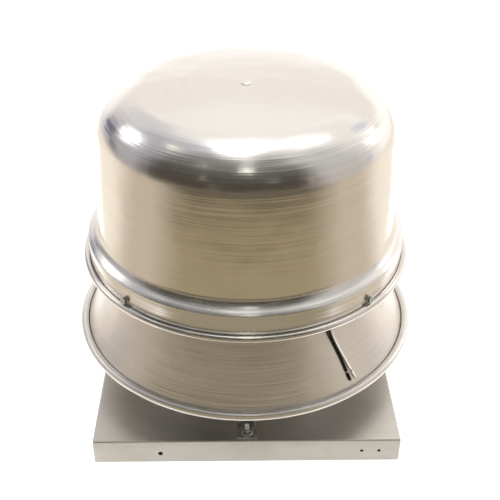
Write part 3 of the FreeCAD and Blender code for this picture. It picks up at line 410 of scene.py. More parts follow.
def makeSpunMetal(look):
    material, tree, shader = newMaterial(look["name"], {
        "Metallic": 1.0, "Anisotropic": look["anisotropy"], "Anisotropic Rotation": look["grainTurn"]})
    rings = addNode(tree, "ShaderNodeGroup", {"Width": look["lineWidth"], "Broad": look["bandWidth"]},
                    node_tree=spinRings).outputs
    marks = addNode(tree, "ShaderNodeGroup", node_tree=handlingMarks).outputs
    fine, bands, smudges = rings["Fine"], rings["Bands"], marks["Smudges"]
    height = splitVector(tree, objectPlace(tree))[2]
    steps = [(place, (share / 2,) * 3) for place, share in look["relief"]]
    worked = calc(tree, "MULTIPLY", ramp(tree, remap(tree, height, *look["heights"]), steps), 2.0)
    tone = calc(tree, "MULTIPLY_ADD", bands, look["bandTone"], calc(tree, "MULTIPLY", fine, look["lineTone"]))
    swing = calc(tree, "SUBTRACT", tone, look["middleTone"])
    tone = calc(tree, "MULTIPLY_ADD", swing, calc(tree, "MINIMUM", worked, 1.0), look["middleTone"])
    base = mixColour(tree, remap(tree, tone, *look["tones"]), look["dull"], look["colour"])
    scratched = calc(tree, "MULTIPLY", marks["Scratches"], look["scratchShare"])
    base = mixColour(tree, scratched, base, look["scratch"])
    specked = calc(tree, "MULTIPLY", marks["Specks"], look["speckShare"])
    base = mixColour(tree, specked, base, look["speck"])
    smoothest = look["roughness"] - look["lineRoughness"] / 2
    rough = calc(tree, "MULTIPLY_ADD", fine, look["lineRoughness"], smoothest)
    rough = calc(tree, "MULTIPLY_ADD", smudges, look["smudgeRoughness"], rough)
    starts, full, fades, ends = look["shoulder"]
    wornAndShaded = calc(tree, "MULTIPLY", remap(tree, height, starts, full), remap(tree, height, ends, fades))
    rough = calc(tree, "MULTIPLY_ADD", wornAndShaded, look["shoulderRougher"], rough)
    lines = calc(tree, "MULTIPLY", fine, remap(tree, smudges, 0.0, 1.0, *look["smudgedLines"]))
    broad = calc(tree, "MULTIPLY", bands, look["bandDepth"])
    lines = calc(tree, "MULTIPLY_ADD", lines, look["lineDepth"], broad)
    wobble = calc(tree, "MULTIPLY", rings["Wobble"], look["wobbleDepth"])
    finishSurface(tree, shader, base, rough, calc(tree, "MULTIPLY_ADD", lines, worked, wobble))
    return material


# Sheet and machined metals: colour, roughness and bump all follow one grain noise and the handling marks.
# low is a painted shade below a height: a darker colour on the cap's skirts that stands in for the dark front
# they mirror, with a rougher finish there too
plainMetal = {"grain": (1.0, 1.0, 1.0), "scale": 600.0, "detail": 3.0, "depth": 0.00002, "tones": (0.3, 0.7),
              "scratchShare": 0.3, "grainRoughness": 0.14, "smudgeRoughness": 0.10, "low": None,
              "lowFade": 0.002}


def makeMetal(name, colour, dull, roughness, **changes):
    look = dict(plainMetal, **changes)
    material, tree, shader = newMaterial(name, {"Metallic": 1.0})
    place = objectPlace(tree)
    mapped = addNode(tree, "ShaderNodeMapping", {"Vector": place, "Scale": look["grain"]})
    grain = noiseFactor(tree, mapped.outputs[0], look["scale"], look["detail"])
    marks = addNode(tree, "ShaderNodeGroup", node_tree=handlingMarks).outputs
    base = mixColour(tree, remap(tree, grain, *look["tones"]), dull, colour)
    base = mixColour(tree, calc(tree, "MULTIPLY", marks["Scratches"], look["scratchShare"]), base, colour)
    smoothest = roughness - look["grainRoughness"] / 2
    rough = calc(tree, "MULTIPLY_ADD", grain, look["grainRoughness"], smoothest)
    rough = calc(tree, "MULTIPLY_ADD", marks["Smudges"], look["smudgeRoughness"], rough)
    if look["low"]:
        low = look["low"]
        edge = low["height"]
        # Painted shade: below low's height the colour darkens towards low's colour, for the dark front the
        # skirts mirror, and the roughness rises
        wornAndShaded = remap(tree, splitVector(tree, place)[2], edge, edge + look["lowFade"], 1.0, 0.0)
        base = mixColour(tree, wornAndShaded, base, low["colour"])
        rough = calc(tree, "MULTIPLY_ADD", wornAndShaded, low["rougher"], rough)
    finishSurface(tree, shader, base, rough, grain, look["depth"])
    return material


galvanised = {"colour": (0.66, 0.67, 0.68), "dull": (0.44, 0.46, 0.48), "flake": 130.0, "roughness": 0.3,
              "flakeRoughness": 0.18, "depth": 0.00003, "strength": 0.6}


def makeGalvanised():
    material, tree, shader = newMaterial("galvanisedSteel", {"Metallic": 1.0})
    place = objectPlace(tree)
    flakes = addNode(tree, "ShaderNodeTexVoronoi", {"Vector": place, "Scale": galvanised["flake"]}).outputs
    tone = addNode(tree, "ShaderNodeSeparateColor", {0: flakes["Color"]}).outputs[0]
    base = mixColour(tree, tone, galvanised["dull"], galvanised["colour"])
    rough = calc(tree, "MULTIPLY_ADD", tone, galvanised["flakeRoughness"], galvanised["roughness"])
    finishSurface(tree, shader, base, rough, tone, galvanised["depth"], galvanised["strength"])
    return material


# Paint, rubber and plastic: a fine orange peel, dust in the hollows of a broad noise
coating = {"peelDetail": 2.0, "dustNoise": (40.0, 4.0), "dust": (0.4, 0.75), "dustRoughness": 0.2,
           "coatRoughness": 0.25}


def makeCoating(name, colour, wornAndShaded, roughness, scale, depth, coat=0.0, shine=0.5):
    material, tree, shader = newMaterial(name, {
        "Metallic": 0.0, "Coat Weight": coat, "Coat Roughness": coating["coatRoughness"],
        "Specular IOR Level": shine})
    place = objectPlace(tree)
    peel = noiseFactor(tree, place, scale, coating["peelDetail"])
    broad = noiseFactor(tree, place, *coating["dustNoise"])
    base = mixColour(tree, remap(tree, broad, *coating["dust"]), colour, wornAndShaded)
    smoothest = roughness - coating["dustRoughness"] / 2
    rough = calc(tree, "MULTIPLY_ADD", broad, coating["dustRoughness"], smoothest)
    finishSurface(tree, shader, base, rough, peel, depth)
    return material


# Thin layers or turns of wire, seen as lines across the height. rate is the wave's scale times the pitch
layers = {"rate": 0.314, "distortion": 1.5, "detailScale": 2.0, "gapRougher": 0.1, "edgeSmoother": -0.15,
          "strength": 0.8}


def makeLayered(name, colour, gap, roughness, pitch):
    material, tree, shader = newMaterial(name, {"Metallic": 1.0})
    lines = addNode(tree, "ShaderNodeTexWave", {
        "Vector": objectPlace(tree), "Scale": layers["rate"] / pitch, "Distortion": layers["distortion"],
        "Detail Scale": layers["detailScale"]}, bands_direction="Z").outputs["Fac"]
    rough = calc(tree, "MULTIPLY_ADD", lines, layers["edgeSmoother"], roughness + layers["gapRougher"])
    finishSurface(tree, shader, mixColour(tree, lines, gap, colour), rough, lines, pitch, layers["strength"])
    return material


spunAluminium = makeSpunMetal(spunFinish)
shroudAluminium = makeSpunMetal(shroudFinish)
materials = {
    "spun_aluminium": shroudAluminium,
    # The cap's skirts get low's painted shade, a darker colour for the dark front they mirror, and a rougher
    # finish
    "cap_aluminium": makeMetal("capAluminium", (0.70, 0.66, 0.60), (0.62, 0.58, 0.52), 0.38,
                               grain=(0.02, 1.0, 1.0),
                               low={"height": 0.0415, "colour": (0.58, 0.55, 0.50), "rougher": 0.2}),
    "wheel_aluminium": makeMetal("wheelAluminium", (0.84, 0.84, 0.84), (0.74, 0.74, 0.74), 0.36,
                                 grain=(0.3, 1.0, 1.0)),
    "hub_aluminium": makeMetal("hubAluminium", (0.70, 0.70, 0.70), (0.58, 0.58, 0.58), 0.5, depth=0.00008,
                               scale=900.0),
    "rivet_aluminium": makeMetal("rivetAluminium", (0.82, 0.82, 0.81), (0.70, 0.70, 0.69), 0.3),
    "galvanised_steel": makeGalvanised(),
    "zinc_fastener": makeMetal("zincFastener", (0.74, 0.78, 0.76), (0.60, 0.62, 0.58), 0.28),
    "motor_paint": makeCoating("motorPaint", (0.012, 0.012, 0.013), (0.03, 0.03, 0.03), 0.42, 900.0, 0.00006,
                               coat=0.3),
    "lamination_steel": makeLayered("laminationSteel", (0.42, 0.42, 0.43), (0.10, 0.10, 0.11), 0.45, 0.0005),
    "winding_copper": makeLayered("windingCopper", (0.78, 0.36, 0.17), (0.25, 0.08, 0.03), 0.3, 0.0009),
    "bearing_steel": makeMetal("bearingSteel", (0.72, 0.72, 0.73), (0.6, 0.6, 0.61), 0.18),
    "shaft_steel": makeMetal("shaftSteel", (0.66, 0.66, 0.67), (0.54, 0.54, 0.55), 0.22,
                             grain=(0.2, 0.2, 1.0)),
    "rubber": makeCoating("rubber", (0.014, 0.014, 0.014), (0.035, 0.034, 0.032), 0.7, 1500.0, 0.00005),
    "plug_plastic": makeMetal("plugMetal", (0.90, 0.89, 0.87), (0.80, 0.79, 0.76), 0.24),
    "black_insulation": makeCoating("blackInsulation", (0.006, 0.005, 0.004), (0.014, 0.012, 0.010), 0.5,
                                    500.0, 0.00004, shine=0.2),
    "white_insulation": makeCoating("whiteInsulation", (0.90, 0.87, 0.77), (0.80, 0.77, 0.67), 0.5,
                                    500.0, 0.00004, shine=0.4)}
bareWire = makeMetal("bareWire", (0.72, 0.55, 0.42), (0.45, 0.30, 0.20), 0.35)
print("materials made:", len(materials) + 2)


def dress(thing, material, body="housing"):
    thing.data.materials.clear()
    thing.data.materials.append(material)
    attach(thing, body)


# Leads: the same routes as the solids', as smooth NURBS lines

lead = {"width": 3.5, "wireWidth": 1.5, "gap": 3.0, "slug": 12.5, "tip": 2.0,
        "length": {"black": 259.0, "white": 260.5}, "sides": 24, "endBevel": 0.08, "curveSteps": 16,
        "roundSteps": 6}
leadRoutes = {
    "black": [(37.8, -64.4, 294.0), (47.2, -79.2, 294.0), (56.9, -95.6, 287.0), (67.4, -111.5, 274.0),
              (77.7, -127.3, 261.5), (87.5, -143.4, 254.0), (97.7, -159.4, 252.0), (107.6, -173.0, 254.2),
              (116.9, -185.0, 251.6), (124.0, -192.8, 238.8), (128.2, -193.9, 218.6), (140.6, -199.2, 191.7),
              (149.2, -204.2, 174.6), (156.4, -210.4, 158.7)],
    "white": [(41.3, -62.2, 294.0), (50.6, -77.1, 294.0), (61.5, -93.4, 286.5), (72.6, -110.1, 273.0),
              (83.1, -126.1, 260.0), (93.3, -142.2, 253.5), (103.9, -157.9, 252.0), (113.2, -171.2, 254.2),
              (122.2, -183.3, 251.3), (129.0, -191.1, 238.0), (132.8, -193.0, 216.0), (143.0, -195.7, 194.8),
              (152.8, -199.9, 177.0), (163.4, -205.1, 158.6)]}


def makeRod(name, start, along, width, length):
    rod = addCylinder(name, lead["sides"], width / 2, length)
    applyModifier(rod, "BEVEL", width=lead["endBevel"] * width * mm, segments=2, limit_method="ANGLE")
    turn = Vector((0, 0, 1)).rotation_difference(along).to_matrix().to_4x4()
    middle = Vector(start) + along * length / 2
    placeMesh(rod, shift(*middle) @ turn)
    smoothBy(rod, smoothing["rod"])
    return rod


def makeLead(colour):
    route = leadRoutes[colour]
    name = f"lead{colour.title()}"
    curve = bpy.data.curves.new(name, "CURVE")
    curve.dimensions = "3D"
    spline = curve.splines.new("NURBS")
    spline.points.add(len(route) - 1)
    for knot, place in zip(spline.points, route):
        knot.co = (*(v * mm for v in place), 1.0)
    spline.order_u = 3
    spline.use_endpoint_u = True
    curve.resolution_u = lead["curveSteps"]
    curve.bevel_depth = lead["width"] / 2 * mm
    curve.bevel_resolution = lead["roundSteps"]
    curve.use_fill_caps = True
    thing = bpy.data.objects.new(name, curve)
    bpy.context.collection.objects.link(thing)
    dress(thing, materials[f"{colour}_insulation"])
    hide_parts(f"lead_{colour}")
    along = (Vector(route[-1]) - Vector(route[-2])).normalized()
    bare = lead["gap"] + lead["slug"] + lead["tip"]
    wire = makeRod(f"{name}Wire", route[-1], along, lead["wireWidth"], bare)
    dress(wire, bareWire)
    slug = makeRod(f"{name}Slug", Vector(route[-1]) + along * lead["gap"], along, lead["width"], lead["slug"])
    dress(slug, materials[f"{colour}_insulation"])
    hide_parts(f"lead_{colour}_end")


for colour in leadRoutes:
    makeLead(colour)
print("leads laid")


# Motor cover: crown, two-radius corner, tapered wall, shoulder, band and a rolled bead

cover = {"sheet": 1.2, "top": 552.0, "crownRadius": 1832.0, "crownEdge": 85.0, "upperCorner": 86.0,
         "lowerCorner": 62.0, "join": 45.0, "taper": 4.2, "band": 260.0, "beadHeight": 269.0, "bead": 5.6,
         "curlOpening": 50.0, "plugHole": 6.0, "crownSteps": 16, "cornerSteps": 14, "wallSteps": 8,
         "bandSteps": 4, "beadSteps": 26,
         "shoulder": [((242.2, 314.8), 20.7, 12), ((256.0, 308.1), 23.8, 6), ((258.8, 305.6), 0.8, 5)]}


def coverProfile():
    sheet = cover["sheet"]
    crown, topIn = cover["crownRadius"] - sheet, cover["top"] - sheet
    upper, lower = cover["upperCorner"] - sheet, cover["lowerCorner"] - sheet
    edge, join, taper = (math.radians(cover[key]) for key in ("crownEdge", "join", "taper"))
    upperCentre = ((crown - upper) * math.cos(edge), topIn - crown + (crown - upper) * math.sin(edge))
    lowerCentre = (upperCentre[0] + (upper - lower) * math.cos(join),
                   upperCentre[1] + (upper - lower) * math.sin(join))
    start = 90 - math.degrees(cover["plugHole"] / crown)
    profile = arcPoints((0, topIn - crown), crown, start, cover["crownEdge"], cover["crownSteps"])
    profile += arcPoints(upperCentre, upper, cover["crownEdge"], cover["join"], cover["cornerSteps"])[1:]
    profile += arcPoints(lowerCentre, lower, cover["join"], cover["taper"], cover["cornerSteps"])[1:]
    wallTop, beadTop = profile[-1], (cover["band"] - sheet, cover["beadHeight"])
    corners = [wallTop] + [corner for corner, radius, count in cover["shoulder"]] + [beadTop]
    turns = []
    for before, (corner, radius, count), after in zip(corners, cover["shoulder"], corners[2:]):
        turns += filletPoints(before, corner, after, radius, count)
    wall = between(wallTop, turns[0], cover["wallSteps"])
    band = between(turns[-1], beadTop, cover["bandSteps"])
    bead = arcPoints((beadTop[0] + cover["bead"], beadTop[1]), cover["bead"], 180, 540 - cover["curlOpening"],
                     cover["beadSteps"])
    return profile + wall + turns + band + bead


# The profile is the inner face, and the sheet's thickness goes outwards
def spinSheet(name, profile, sheet, material):
    shell = spinProfile(name, profile)
    faceUp(shell)
    applyModifier(shell, "SOLIDIFY", thickness=sheet * mm, offset=1.0, use_even_offset=True)
    smoothBy(shell, smoothing["sheet"])
    dress(shell, material)
    return shell


def makeCover():
    shell = spinSheet("motorCover", coverProfile(), cover["sheet"], spunAluminium)
    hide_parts("motor_cover")


# Discharge shroud: flange, shoulder, one long flare and a rolled rim

shroud = {"sheet": 1.2, "plateTop": 248.0, "flangeInner": 186.0, "shoulder": 8.0, "topSlope": 68.0,
          "rimSlope": 57.0, "rim": 288.0, "rimHeight": 133.0, "bead": 6.5, "curlOpening": 50.0,
          "flangeSteps": 3, "shoulderSteps": 10, "flareSteps": 20, "beadSteps": 26}


def shroudProfile():
    top, rim = math.radians(shroud["topSlope"]), math.radians(shroud["rimSlope"])
    curl = (shroud["rim"] - shroud["bead"], shroud["rimHeight"])
    low = (curl[0] - shroud["bead"] * math.sin(rim), curl[1] - shroud["bead"] * math.cos(rim))
    highUp = shroud["plateTop"] - shroud["shoulder"] * (1 - math.cos(top))
    flare = (highUp - low[1]) / (math.cos(rim) - math.cos(top))
    highAcross = low[0] - flare * (math.sin(top) - math.sin(rim))
    shoulderAcross = highAcross - shroud["shoulder"] * math.sin(top)
    flareCentre = (highAcross + flare * math.sin(top), highUp + flare * math.cos(top))
    inner, steps = shroud["flangeInner"], shroud["flangeSteps"]
    flange = [(inner + (shoulderAcross - inner) * k / steps, shroud["plateTop"]) for k in range(steps)]
    corner = arcPoints((shoulderAcross, shroud["plateTop"] - shroud["shoulder"]), shroud["shoulder"], 90,
                       90 - shroud["topSlope"], shroud["shoulderSteps"])
    wall = arcPoints(flareCentre, flare, 270 - shroud["topSlope"], 270 - shroud["rimSlope"],
                     shroud["flareSteps"])
    start = 270 - shroud["rimSlope"]
    bead = arcPoints(curl, shroud["bead"], start, start + 360 - shroud["curlOpening"], shroud["beadSteps"])
    return flange + corner + wall[1:] + bead[1:]


def makeShroud():
    shell = spinSheet("shroud", shroudProfile(), shroud["sheet"], shroudAluminium)
    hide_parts("shroud")


makeCover()
makeShroud()
print("cover and shroud spun")


# Plug in the middle of the crown, with a dimple

plug = {"seat": 552.0, "steps": 64,
        "profile": [(0, 1.5), (0.8, 1.55), (1.3, 2.05), (2.2, 2.2), (4.2, 2.15), (5.2, 1.75), (6.6, 1.15),
                    (8.0, 0.9), (8.45, 0.6), (8.5, 0.1), (8.2, 0.0), (5.8, 0.0), (5.8, -5.2), (5.2, -6.0),
                    (0, -6.0)]}


def makePlug():
    profile = [(across, plug["seat"] + up) for across, up in plug["profile"]]
    thing = spinProfile("centrePlug", profile, plug["steps"])
    smoothBy(thing, smoothing["turned"])
    dress(thing, materials["plug_plastic"])
    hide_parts("centre_plug")


makePlug()


# Hex heads along +Z from z = 0, their corners cut by a blunt cone
hexHead = {"coneSteps": 64, "coneRise": 0.6, "cornerShare": 0.577, "boreSteps": 48, "dishInset": 0.16,
           "dishSlope": 0.05}


def makeHexHead(name, across, height, chamfer, dish=0.0, bore=0.0):
    flatTurn = math.radians(30)
    thing = addCylinder(name, 6, across / 2 / math.cos(flatTurn), height,
                        location=(0, 0, height / 2 * mm), rotation=(0, 0, flatTurn))
    bpy.ops.object.transform_apply(location=True, rotation=True, scale=True)
    reach, rise = across * hexHead["cornerShare"] + height * 2 - chamfer, hexHead["coneRise"]
    cone = addPrimitive(f"{name}Cone", bpy.ops.mesh.primitive_cone_add, vertices=hexHead["coneSteps"],
                        radius1=reach * mm, radius2=0.0, depth=reach * mm * rise)
    placeMesh(cone, shift(0, 0, height - across * 0.5 * rise + reach * rise / 2))
    cutWith(thing, cone, "INTERSECT")
    if bore:
        hole = addCylinder(f"{name}Bore", hexHead["boreSteps"], bore / 2, height * 3)
        cutWith(thing, hole)
    if dish:
        choose(thing)
        editMode()
        nearTop = height * modelling["topShare"] * mm
        pickFaces(thing, lambda face: (face.normal.z > modelling["facing"]
                                       and face.calc_center_median().z > nearTop))
        bpy.ops.mesh.inset(thickness=across * hexHead["dishInset"] * mm)
        bpy.ops.mesh.inset(thickness=across * hexHead["dishSlope"] * mm, depth=-dish * mm)
        editMode(False)
    smoothBy(thing, smoothing["hex"])
    return thing


def ringOf(first, name, material, node, start=0):
    twins = [copyMesh(first, f"{name}{i}", turnAbout(start + 90 * i)) for i in range(1, 4)]
    placeMesh(first, turnAbout(start))
    ring = joinAll(name, [first, *twins])
    dress(ring, material)
    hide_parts(node)


# Cover bolts: a hex head over a round collar, four in the band
coverBolt = {"height": 281.0, "start": 45, "collarThick": 1.2, "across": 9.5, "head": 4.5, "chamfer": 0.6,
             "dish": 0.7, "steps": 48, "collar": [(0, 1.6), (4.7, 1.6), (6.1, 0.84), (6.5, 0.35), (6.5, 0.0),
                                                  (3.175, 0.0), (3.175, -15.0), (2.175, -16.0), (0, -16.0)]}


def makeCoverBolts():
    collar = spinProfile("collar", coverBolt["collar"], coverBolt["steps"])
    smoothBy(collar, smoothing["collar"])
    head = makeHexHead("head", coverBolt["across"], coverBolt["head"], coverBolt["chamfer"],
                       dish=coverBolt["dish"])
    placeMesh(head, shift(0, 0, coverBolt["collarThick"]))
    first = joinAll("coverBolts", [collar, head])
    placeMesh(first, shift(cover["band"], 0, coverBolt["height"]) @ turnAbout(90, "Y"))
    ringOf(first, "coverBolts", materials["zinc_fastener"], "cover_bolts", coverBolt["start"])


makeCoverBolts()


# Leg studs, washers and nuts on the deck
foot = {"stud": 229.43, "deck": 45.0, "plate": 2.5, "across": 11.1, "nut": 5.6, "nutChamfer": 0.7,
        "bore": 6.6, "washerThick": 1.6, "washerSteps": 64,
        "washer": [(3.3, 0.0), (8.95, 0.0), (9.25, 0.4), (9.25, 1.1), (8.75, 1.6), (3.5, 1.6), (3.3, 1.4),
                   (3.3, 0.0)]}
stud = {"thread": 6.35, "pitch": 1.27, "depthShare": 0.6, "turns": 14, "foot": 0.6, "steps": 20,
        "core": [(0, 21.0), (2.113, 21.0), (2.563, 20.4), (2.433, 0.0), (0, 0.0)], "coreSteps": 24}


def makeStud():
    pitch = stud["pitch"]
    depth = pitch * stud["depthShare"]
    thing = startPoint("legStuds", ((stud["thread"] / 2 - depth) * mm, 0, 0))
    for across in (depth, -depth):
        extrudeBy((across * mm, 0, pitch / 2 * mm))
    editMode(False)
    applyModifier(thing, "SCREW", angle=2 * math.pi, screw_offset=pitch * mm, iterations=stud["turns"],
                  steps=stud["steps"], render_steps=stud["steps"], use_merge_vertices=True,
                  merge_threshold=modelling["screwMergeWithin"])
    core = spinProfile("studCore", stud["core"], stud["coreSteps"])
    placeMesh(thing, shift(0, 0, stud["foot"]))
    whole = joinAll("legStuds", [thing, core])
    smoothBy(whole, smoothing["turned"])
    placeMesh(whole, shift(foot["stud"], 0, foot["deck"]))
    return whole


def makeFootFasteners():
    ringOf(makeStud(), "legStuds", materials["zinc_fastener"], "leg_studs")
    footTop = foot["deck"] + foot["plate"]
    washer = spinProfile("legWashers", foot["washer"], foot["washerSteps"])
    smoothBy(washer, smoothing["turned"])
    placeMesh(washer, shift(foot["stud"], 0, footTop))
    ringOf(washer, "legWashers", materials["zinc_fastener"], "leg_washers")
    nut = makeHexHead("legNuts", foot["across"], foot["nut"], foot["nutChamfer"], bore=foot["bore"])
    placeMesh(nut, shift(foot["stud"], 0, footTop + foot["washerThick"]))
    ringOf(nut, "legNuts", materials["zinc_fastener"], "leg_nuts")


makeFootFasteners()
print("fasteners made")


# Curb cap: a folded pan with its inlet and the holes in its skirts

cap = {"width": 495.0, "depth": 45.0, "sheet": 1.6, "fold": 3.0, "inlet": 150.0,
       "holes": [(-139.7, 18.5, 7.7), (185.65, 21.4, 5.5), (213.55, 21.4, 5.5)],
       "foldSteps": 5, "drill": 30.0, "drillSteps": 32, "inletSteps": 128}


def makeCap():
    half, depth = cap["width"] / 2 * mm, cap["depth"] * mm
    pan = addPrimitive("curbCap", bpy.ops.mesh.primitive_cube_add, size=1.0)
    editMode()
    bpy.ops.transform.resize(value=(2 * half, 2 * half, depth))
    bpy.ops.transform.translate(value=(0, 0, depth / 2))
    pickFaces(pan, lambda face: face.normal.z < -modelling["facing"])
    bpy.ops.mesh.delete(type="FACE")
    pickEdges(pan, lambda a, b: max(a.z, b.z) > depth * modelling["topShare"])
    bpy.ops.mesh.bevel(offset=cap["fold"] * mm, segments=cap["foldSteps"], profile=0.5, affect="EDGES")
    editMode(False)
    applyModifier(pan, "SOLIDIFY", thickness=cap["sheet"] * mm, offset=-1.0, use_even_offset=True)
    cutters = []
    for side in range(4):
        for across, up, width in cap["holes"]:
            drill = addCylinder("drill", cap["drillSteps"], width / 2, cap["drill"])
            placeMesh(drill, turnAbout(90 * side) @ shift(across, -cap["width"] / 2, up) @ turnAbout(90, "X"))
            cutters.append(drill)
    inlet = addCylinder("inlet", cap["inletSteps"], cap["inlet"], cap["drill"])
    placeMesh(inlet, shift(0, 0, cap["depth"]))
    cutWith(pan, joinAll("holes", [inlet, *cutters]))
    smoothBy(pan, smoothing["folded"])
    dress(pan, materials["cap_aluminium"])
    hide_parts("curb_cap")


makeCap()
print("curb cap folded")


# Carried-over solids get the finish of their slot in the record

def dressFrame():
    slots = {piece["node"]: piece["material_slot"] for piece in frame["record"]["subparts"]}
    for node, thing in frame["nodes"].items():
        material = materials[slots[node]]
        thing.data.materials.clear()
        thing.data.materials.append(material)


dressFrame()


# Studio: a floor that the camera sees white all over, a half dome and a low canopy in front.
# Mirrored, the floor is white near the fan and tan further out. Only reflections see that tan,
# the dome's pattern and the canopy, and everything matt is lit by plain white

studio = {"floor": 12.0, "paint": 0.6, "glow": 0.72, "under": 0.243, "domeRadius": 3.4, "domeCentre": 0.3,
          "domeLowest": -0.5, "domeSegments": 64, "domeRings": 32, "fill": 1.3, "white": (1.0, 1.0, 1.0),
          "sideFloor": (0.385, 0.33, 0.265), "backFloor": (0.62, 0.57, 0.50), "frontReach": (0.4, 3.2),
          "frontFloor": [(0.0, (0.24, 0.21, 0.155)), (0.12, (0.205, 0.175, 0.125)),
                         (0.19, (0.27, 0.22, 0.14)), (0.28, (0.235, 0.185, 0.108)),
                         (0.36, (0.12, 0.10, 0.07)), (0.55, (0.065, 0.057, 0.043)),
                         (0.85, (0.06, 0.052, 0.04)), (0.92, (0.085, 0.072, 0.053))],
          "backTurn": (0.15, -0.35), "frontTurn": (0.35, 0.8), "whiteFlare": 0.24, "whiteSide": (0.47, 0.60),
          "whiteFront": (0.345, 0.40), "leastReach": 0.01}


# A direction by its height and its turn from the front, in degrees
def skyward(height, turn):
    up, aside = math.radians(height), math.radians(turn)
    return Vector((math.cos(up) * math.sin(aside), -math.cos(up) * math.cos(aside), math.sin(up)))


def emptyMaterial(name):
    material = bpy.data.materials.new(name)
    material.use_nodes = True
    material.node_tree.nodes.clear()
    return material, material.node_tree


def wear(thing, material, surface):
    addNode(material.node_tree, "ShaderNodeOutputMaterial", {"Surface": surface.outputs[0]})
    thing.data.materials.append(material)


def makeFloor():
    floor = addPrimitive("floor", bpy.ops.mesh.primitive_plane_add, size=studio["floor"])
    material, tree = emptyMaterial("floorPaint")
    place = objectPlace(tree)
    split = splitVector(tree, place)
    aside, ahead = calc(tree, "ABSOLUTE", split[0]), calc(tree, "MULTIPLY", split[1], -1.0)
    reach = vectorCalc(tree, "LENGTH", place)
    front = ramp(tree, remap(tree, reach, *studio["frontReach"]), studio["frontFloor"])
    slant = calc(tree, "DIVIDE", ahead, calc(tree, "MAXIMUM", reach, studio["leastReach"]))
    behind = remap(tree, slant, *studio["backTurn"], smooth=True)
    around = mixColour(tree, behind, studio["sideFloor"], studio["backFloor"])
    around = mixColour(tree, remap(tree, slant, *studio["frontTurn"], smooth=True), around, front)
    spread = calc(tree, "MULTIPLY_ADD", ahead, studio["whiteFlare"], aside)
    beside = remap(tree, spread, *studio["whiteSide"], smooth=True)
    beyond = remap(tree, ahead, *studio["whiteFront"], smooth=True)
    colour = mixColour(tree, calc(tree, "MAXIMUM", beside, beyond), studio["white"], around)
    path = addNode(tree, "ShaderNodeLightPath").outputs
    colour = mixColour(tree, path["Is Camera Ray"], colour, studio["white"])
    paint = mixColour(tree, studio["paint"], (0.0, 0.0, 0.0), colour)
    plain = addNode(tree, "ShaderNodeBsdfDiffuse", {"Color": paint})
    under = calc(tree, "GREATER_THAN", calc(tree, "MAXIMUM", aside, calc(tree, "ABSOLUTE", split[1])),
                 studio["under"])
    strength = calc(tree, "MULTIPLY", under, studio["glow"])
    glow = addNode(tree, "ShaderNodeEmission", {"Color": colour, "Strength": strength})
    both = addNode(tree, "ShaderNodeAddShader", {0: plain.outputs[0], 1: glow.outputs[0]})
    seen = calc(tree, "MAXIMUM", path["Is Camera Ray"],
                calc(tree, "MAXIMUM", path["Is Glossy Ray"], path["Is Transmission Ray"]))
    mixed = addNode(tree, "ShaderNodeMixShader", {0: seen, 1: plain.outputs[0], 2: both.outputs[0]})
    wear(floor, material, mixed)


# A flat ring sector in front, tan from below and clear from above, so that the shroud alone mirrors it
canopy = {"height": 0.40, "inner": 1.08, "outer": 3.1, "turn": 170.0, "tan": (0.45, 0.38, 0.275),
          "ends": (0.52, 0.455, 0.37), "near": 0.9, "far": 3.0, "frontTurn": (0.25, 0.8),
          "steps": 4, "spinSteps": 48}


def makeCanopy():
    side = math.radians(canopy["turn"] / 2)
    outward = Vector((-math.sin(side), -math.cos(side), 0))
    sheet = startPoint("frontCanopy", outward * canopy["inner"] + Vector((0, 0, canopy["height"])))
    for k in range(canopy["steps"]):
        extrudeBy(outward * (canopy["outer"] - canopy["inner"]) / canopy["steps"])
    spinAll(canopy["spinSteps"], -canopy["turn"])
    editMode(False)
    faceUp(sheet)
    material, tree = emptyMaterial("canopyGlow")
    material.cycles.emission_sampling = "NONE"
    place = objectPlace(tree)
    toward = splitVector(tree, vectorCalc(tree, "NORMALIZE", place))[1]
    ahead = calc(tree, "MULTIPLY", toward, -1.0)
    inFront = remap(tree, ahead, *canopy["frontTurn"], smooth=True)
    colour = mixColour(tree, inFront, canopy["ends"], canopy["tan"])
    reach = vectorCalc(tree, "LENGTH", place)
    strength = remap(tree, reach, canopy["inner"], canopy["outer"], canopy["near"], canopy["far"])
    glow = addNode(tree, "ShaderNodeEmission", {"Color": colour, "Strength": strength})
    clear = addNode(tree, "ShaderNodeBsdfTransparent")
    below = addNode(tree, "ShaderNodeNewGeometry").outputs["Backfacing"]
    mixed = addNode(tree, "ShaderNodeMixShader", {0: below, 1: clear.outputs[0], 2: glow.outputs[0]})
    wear(sheet, material, mixed)
    sheet.visible_camera = False
    sheet.visible_diffuse = False
    sheet.visible_shadow = False


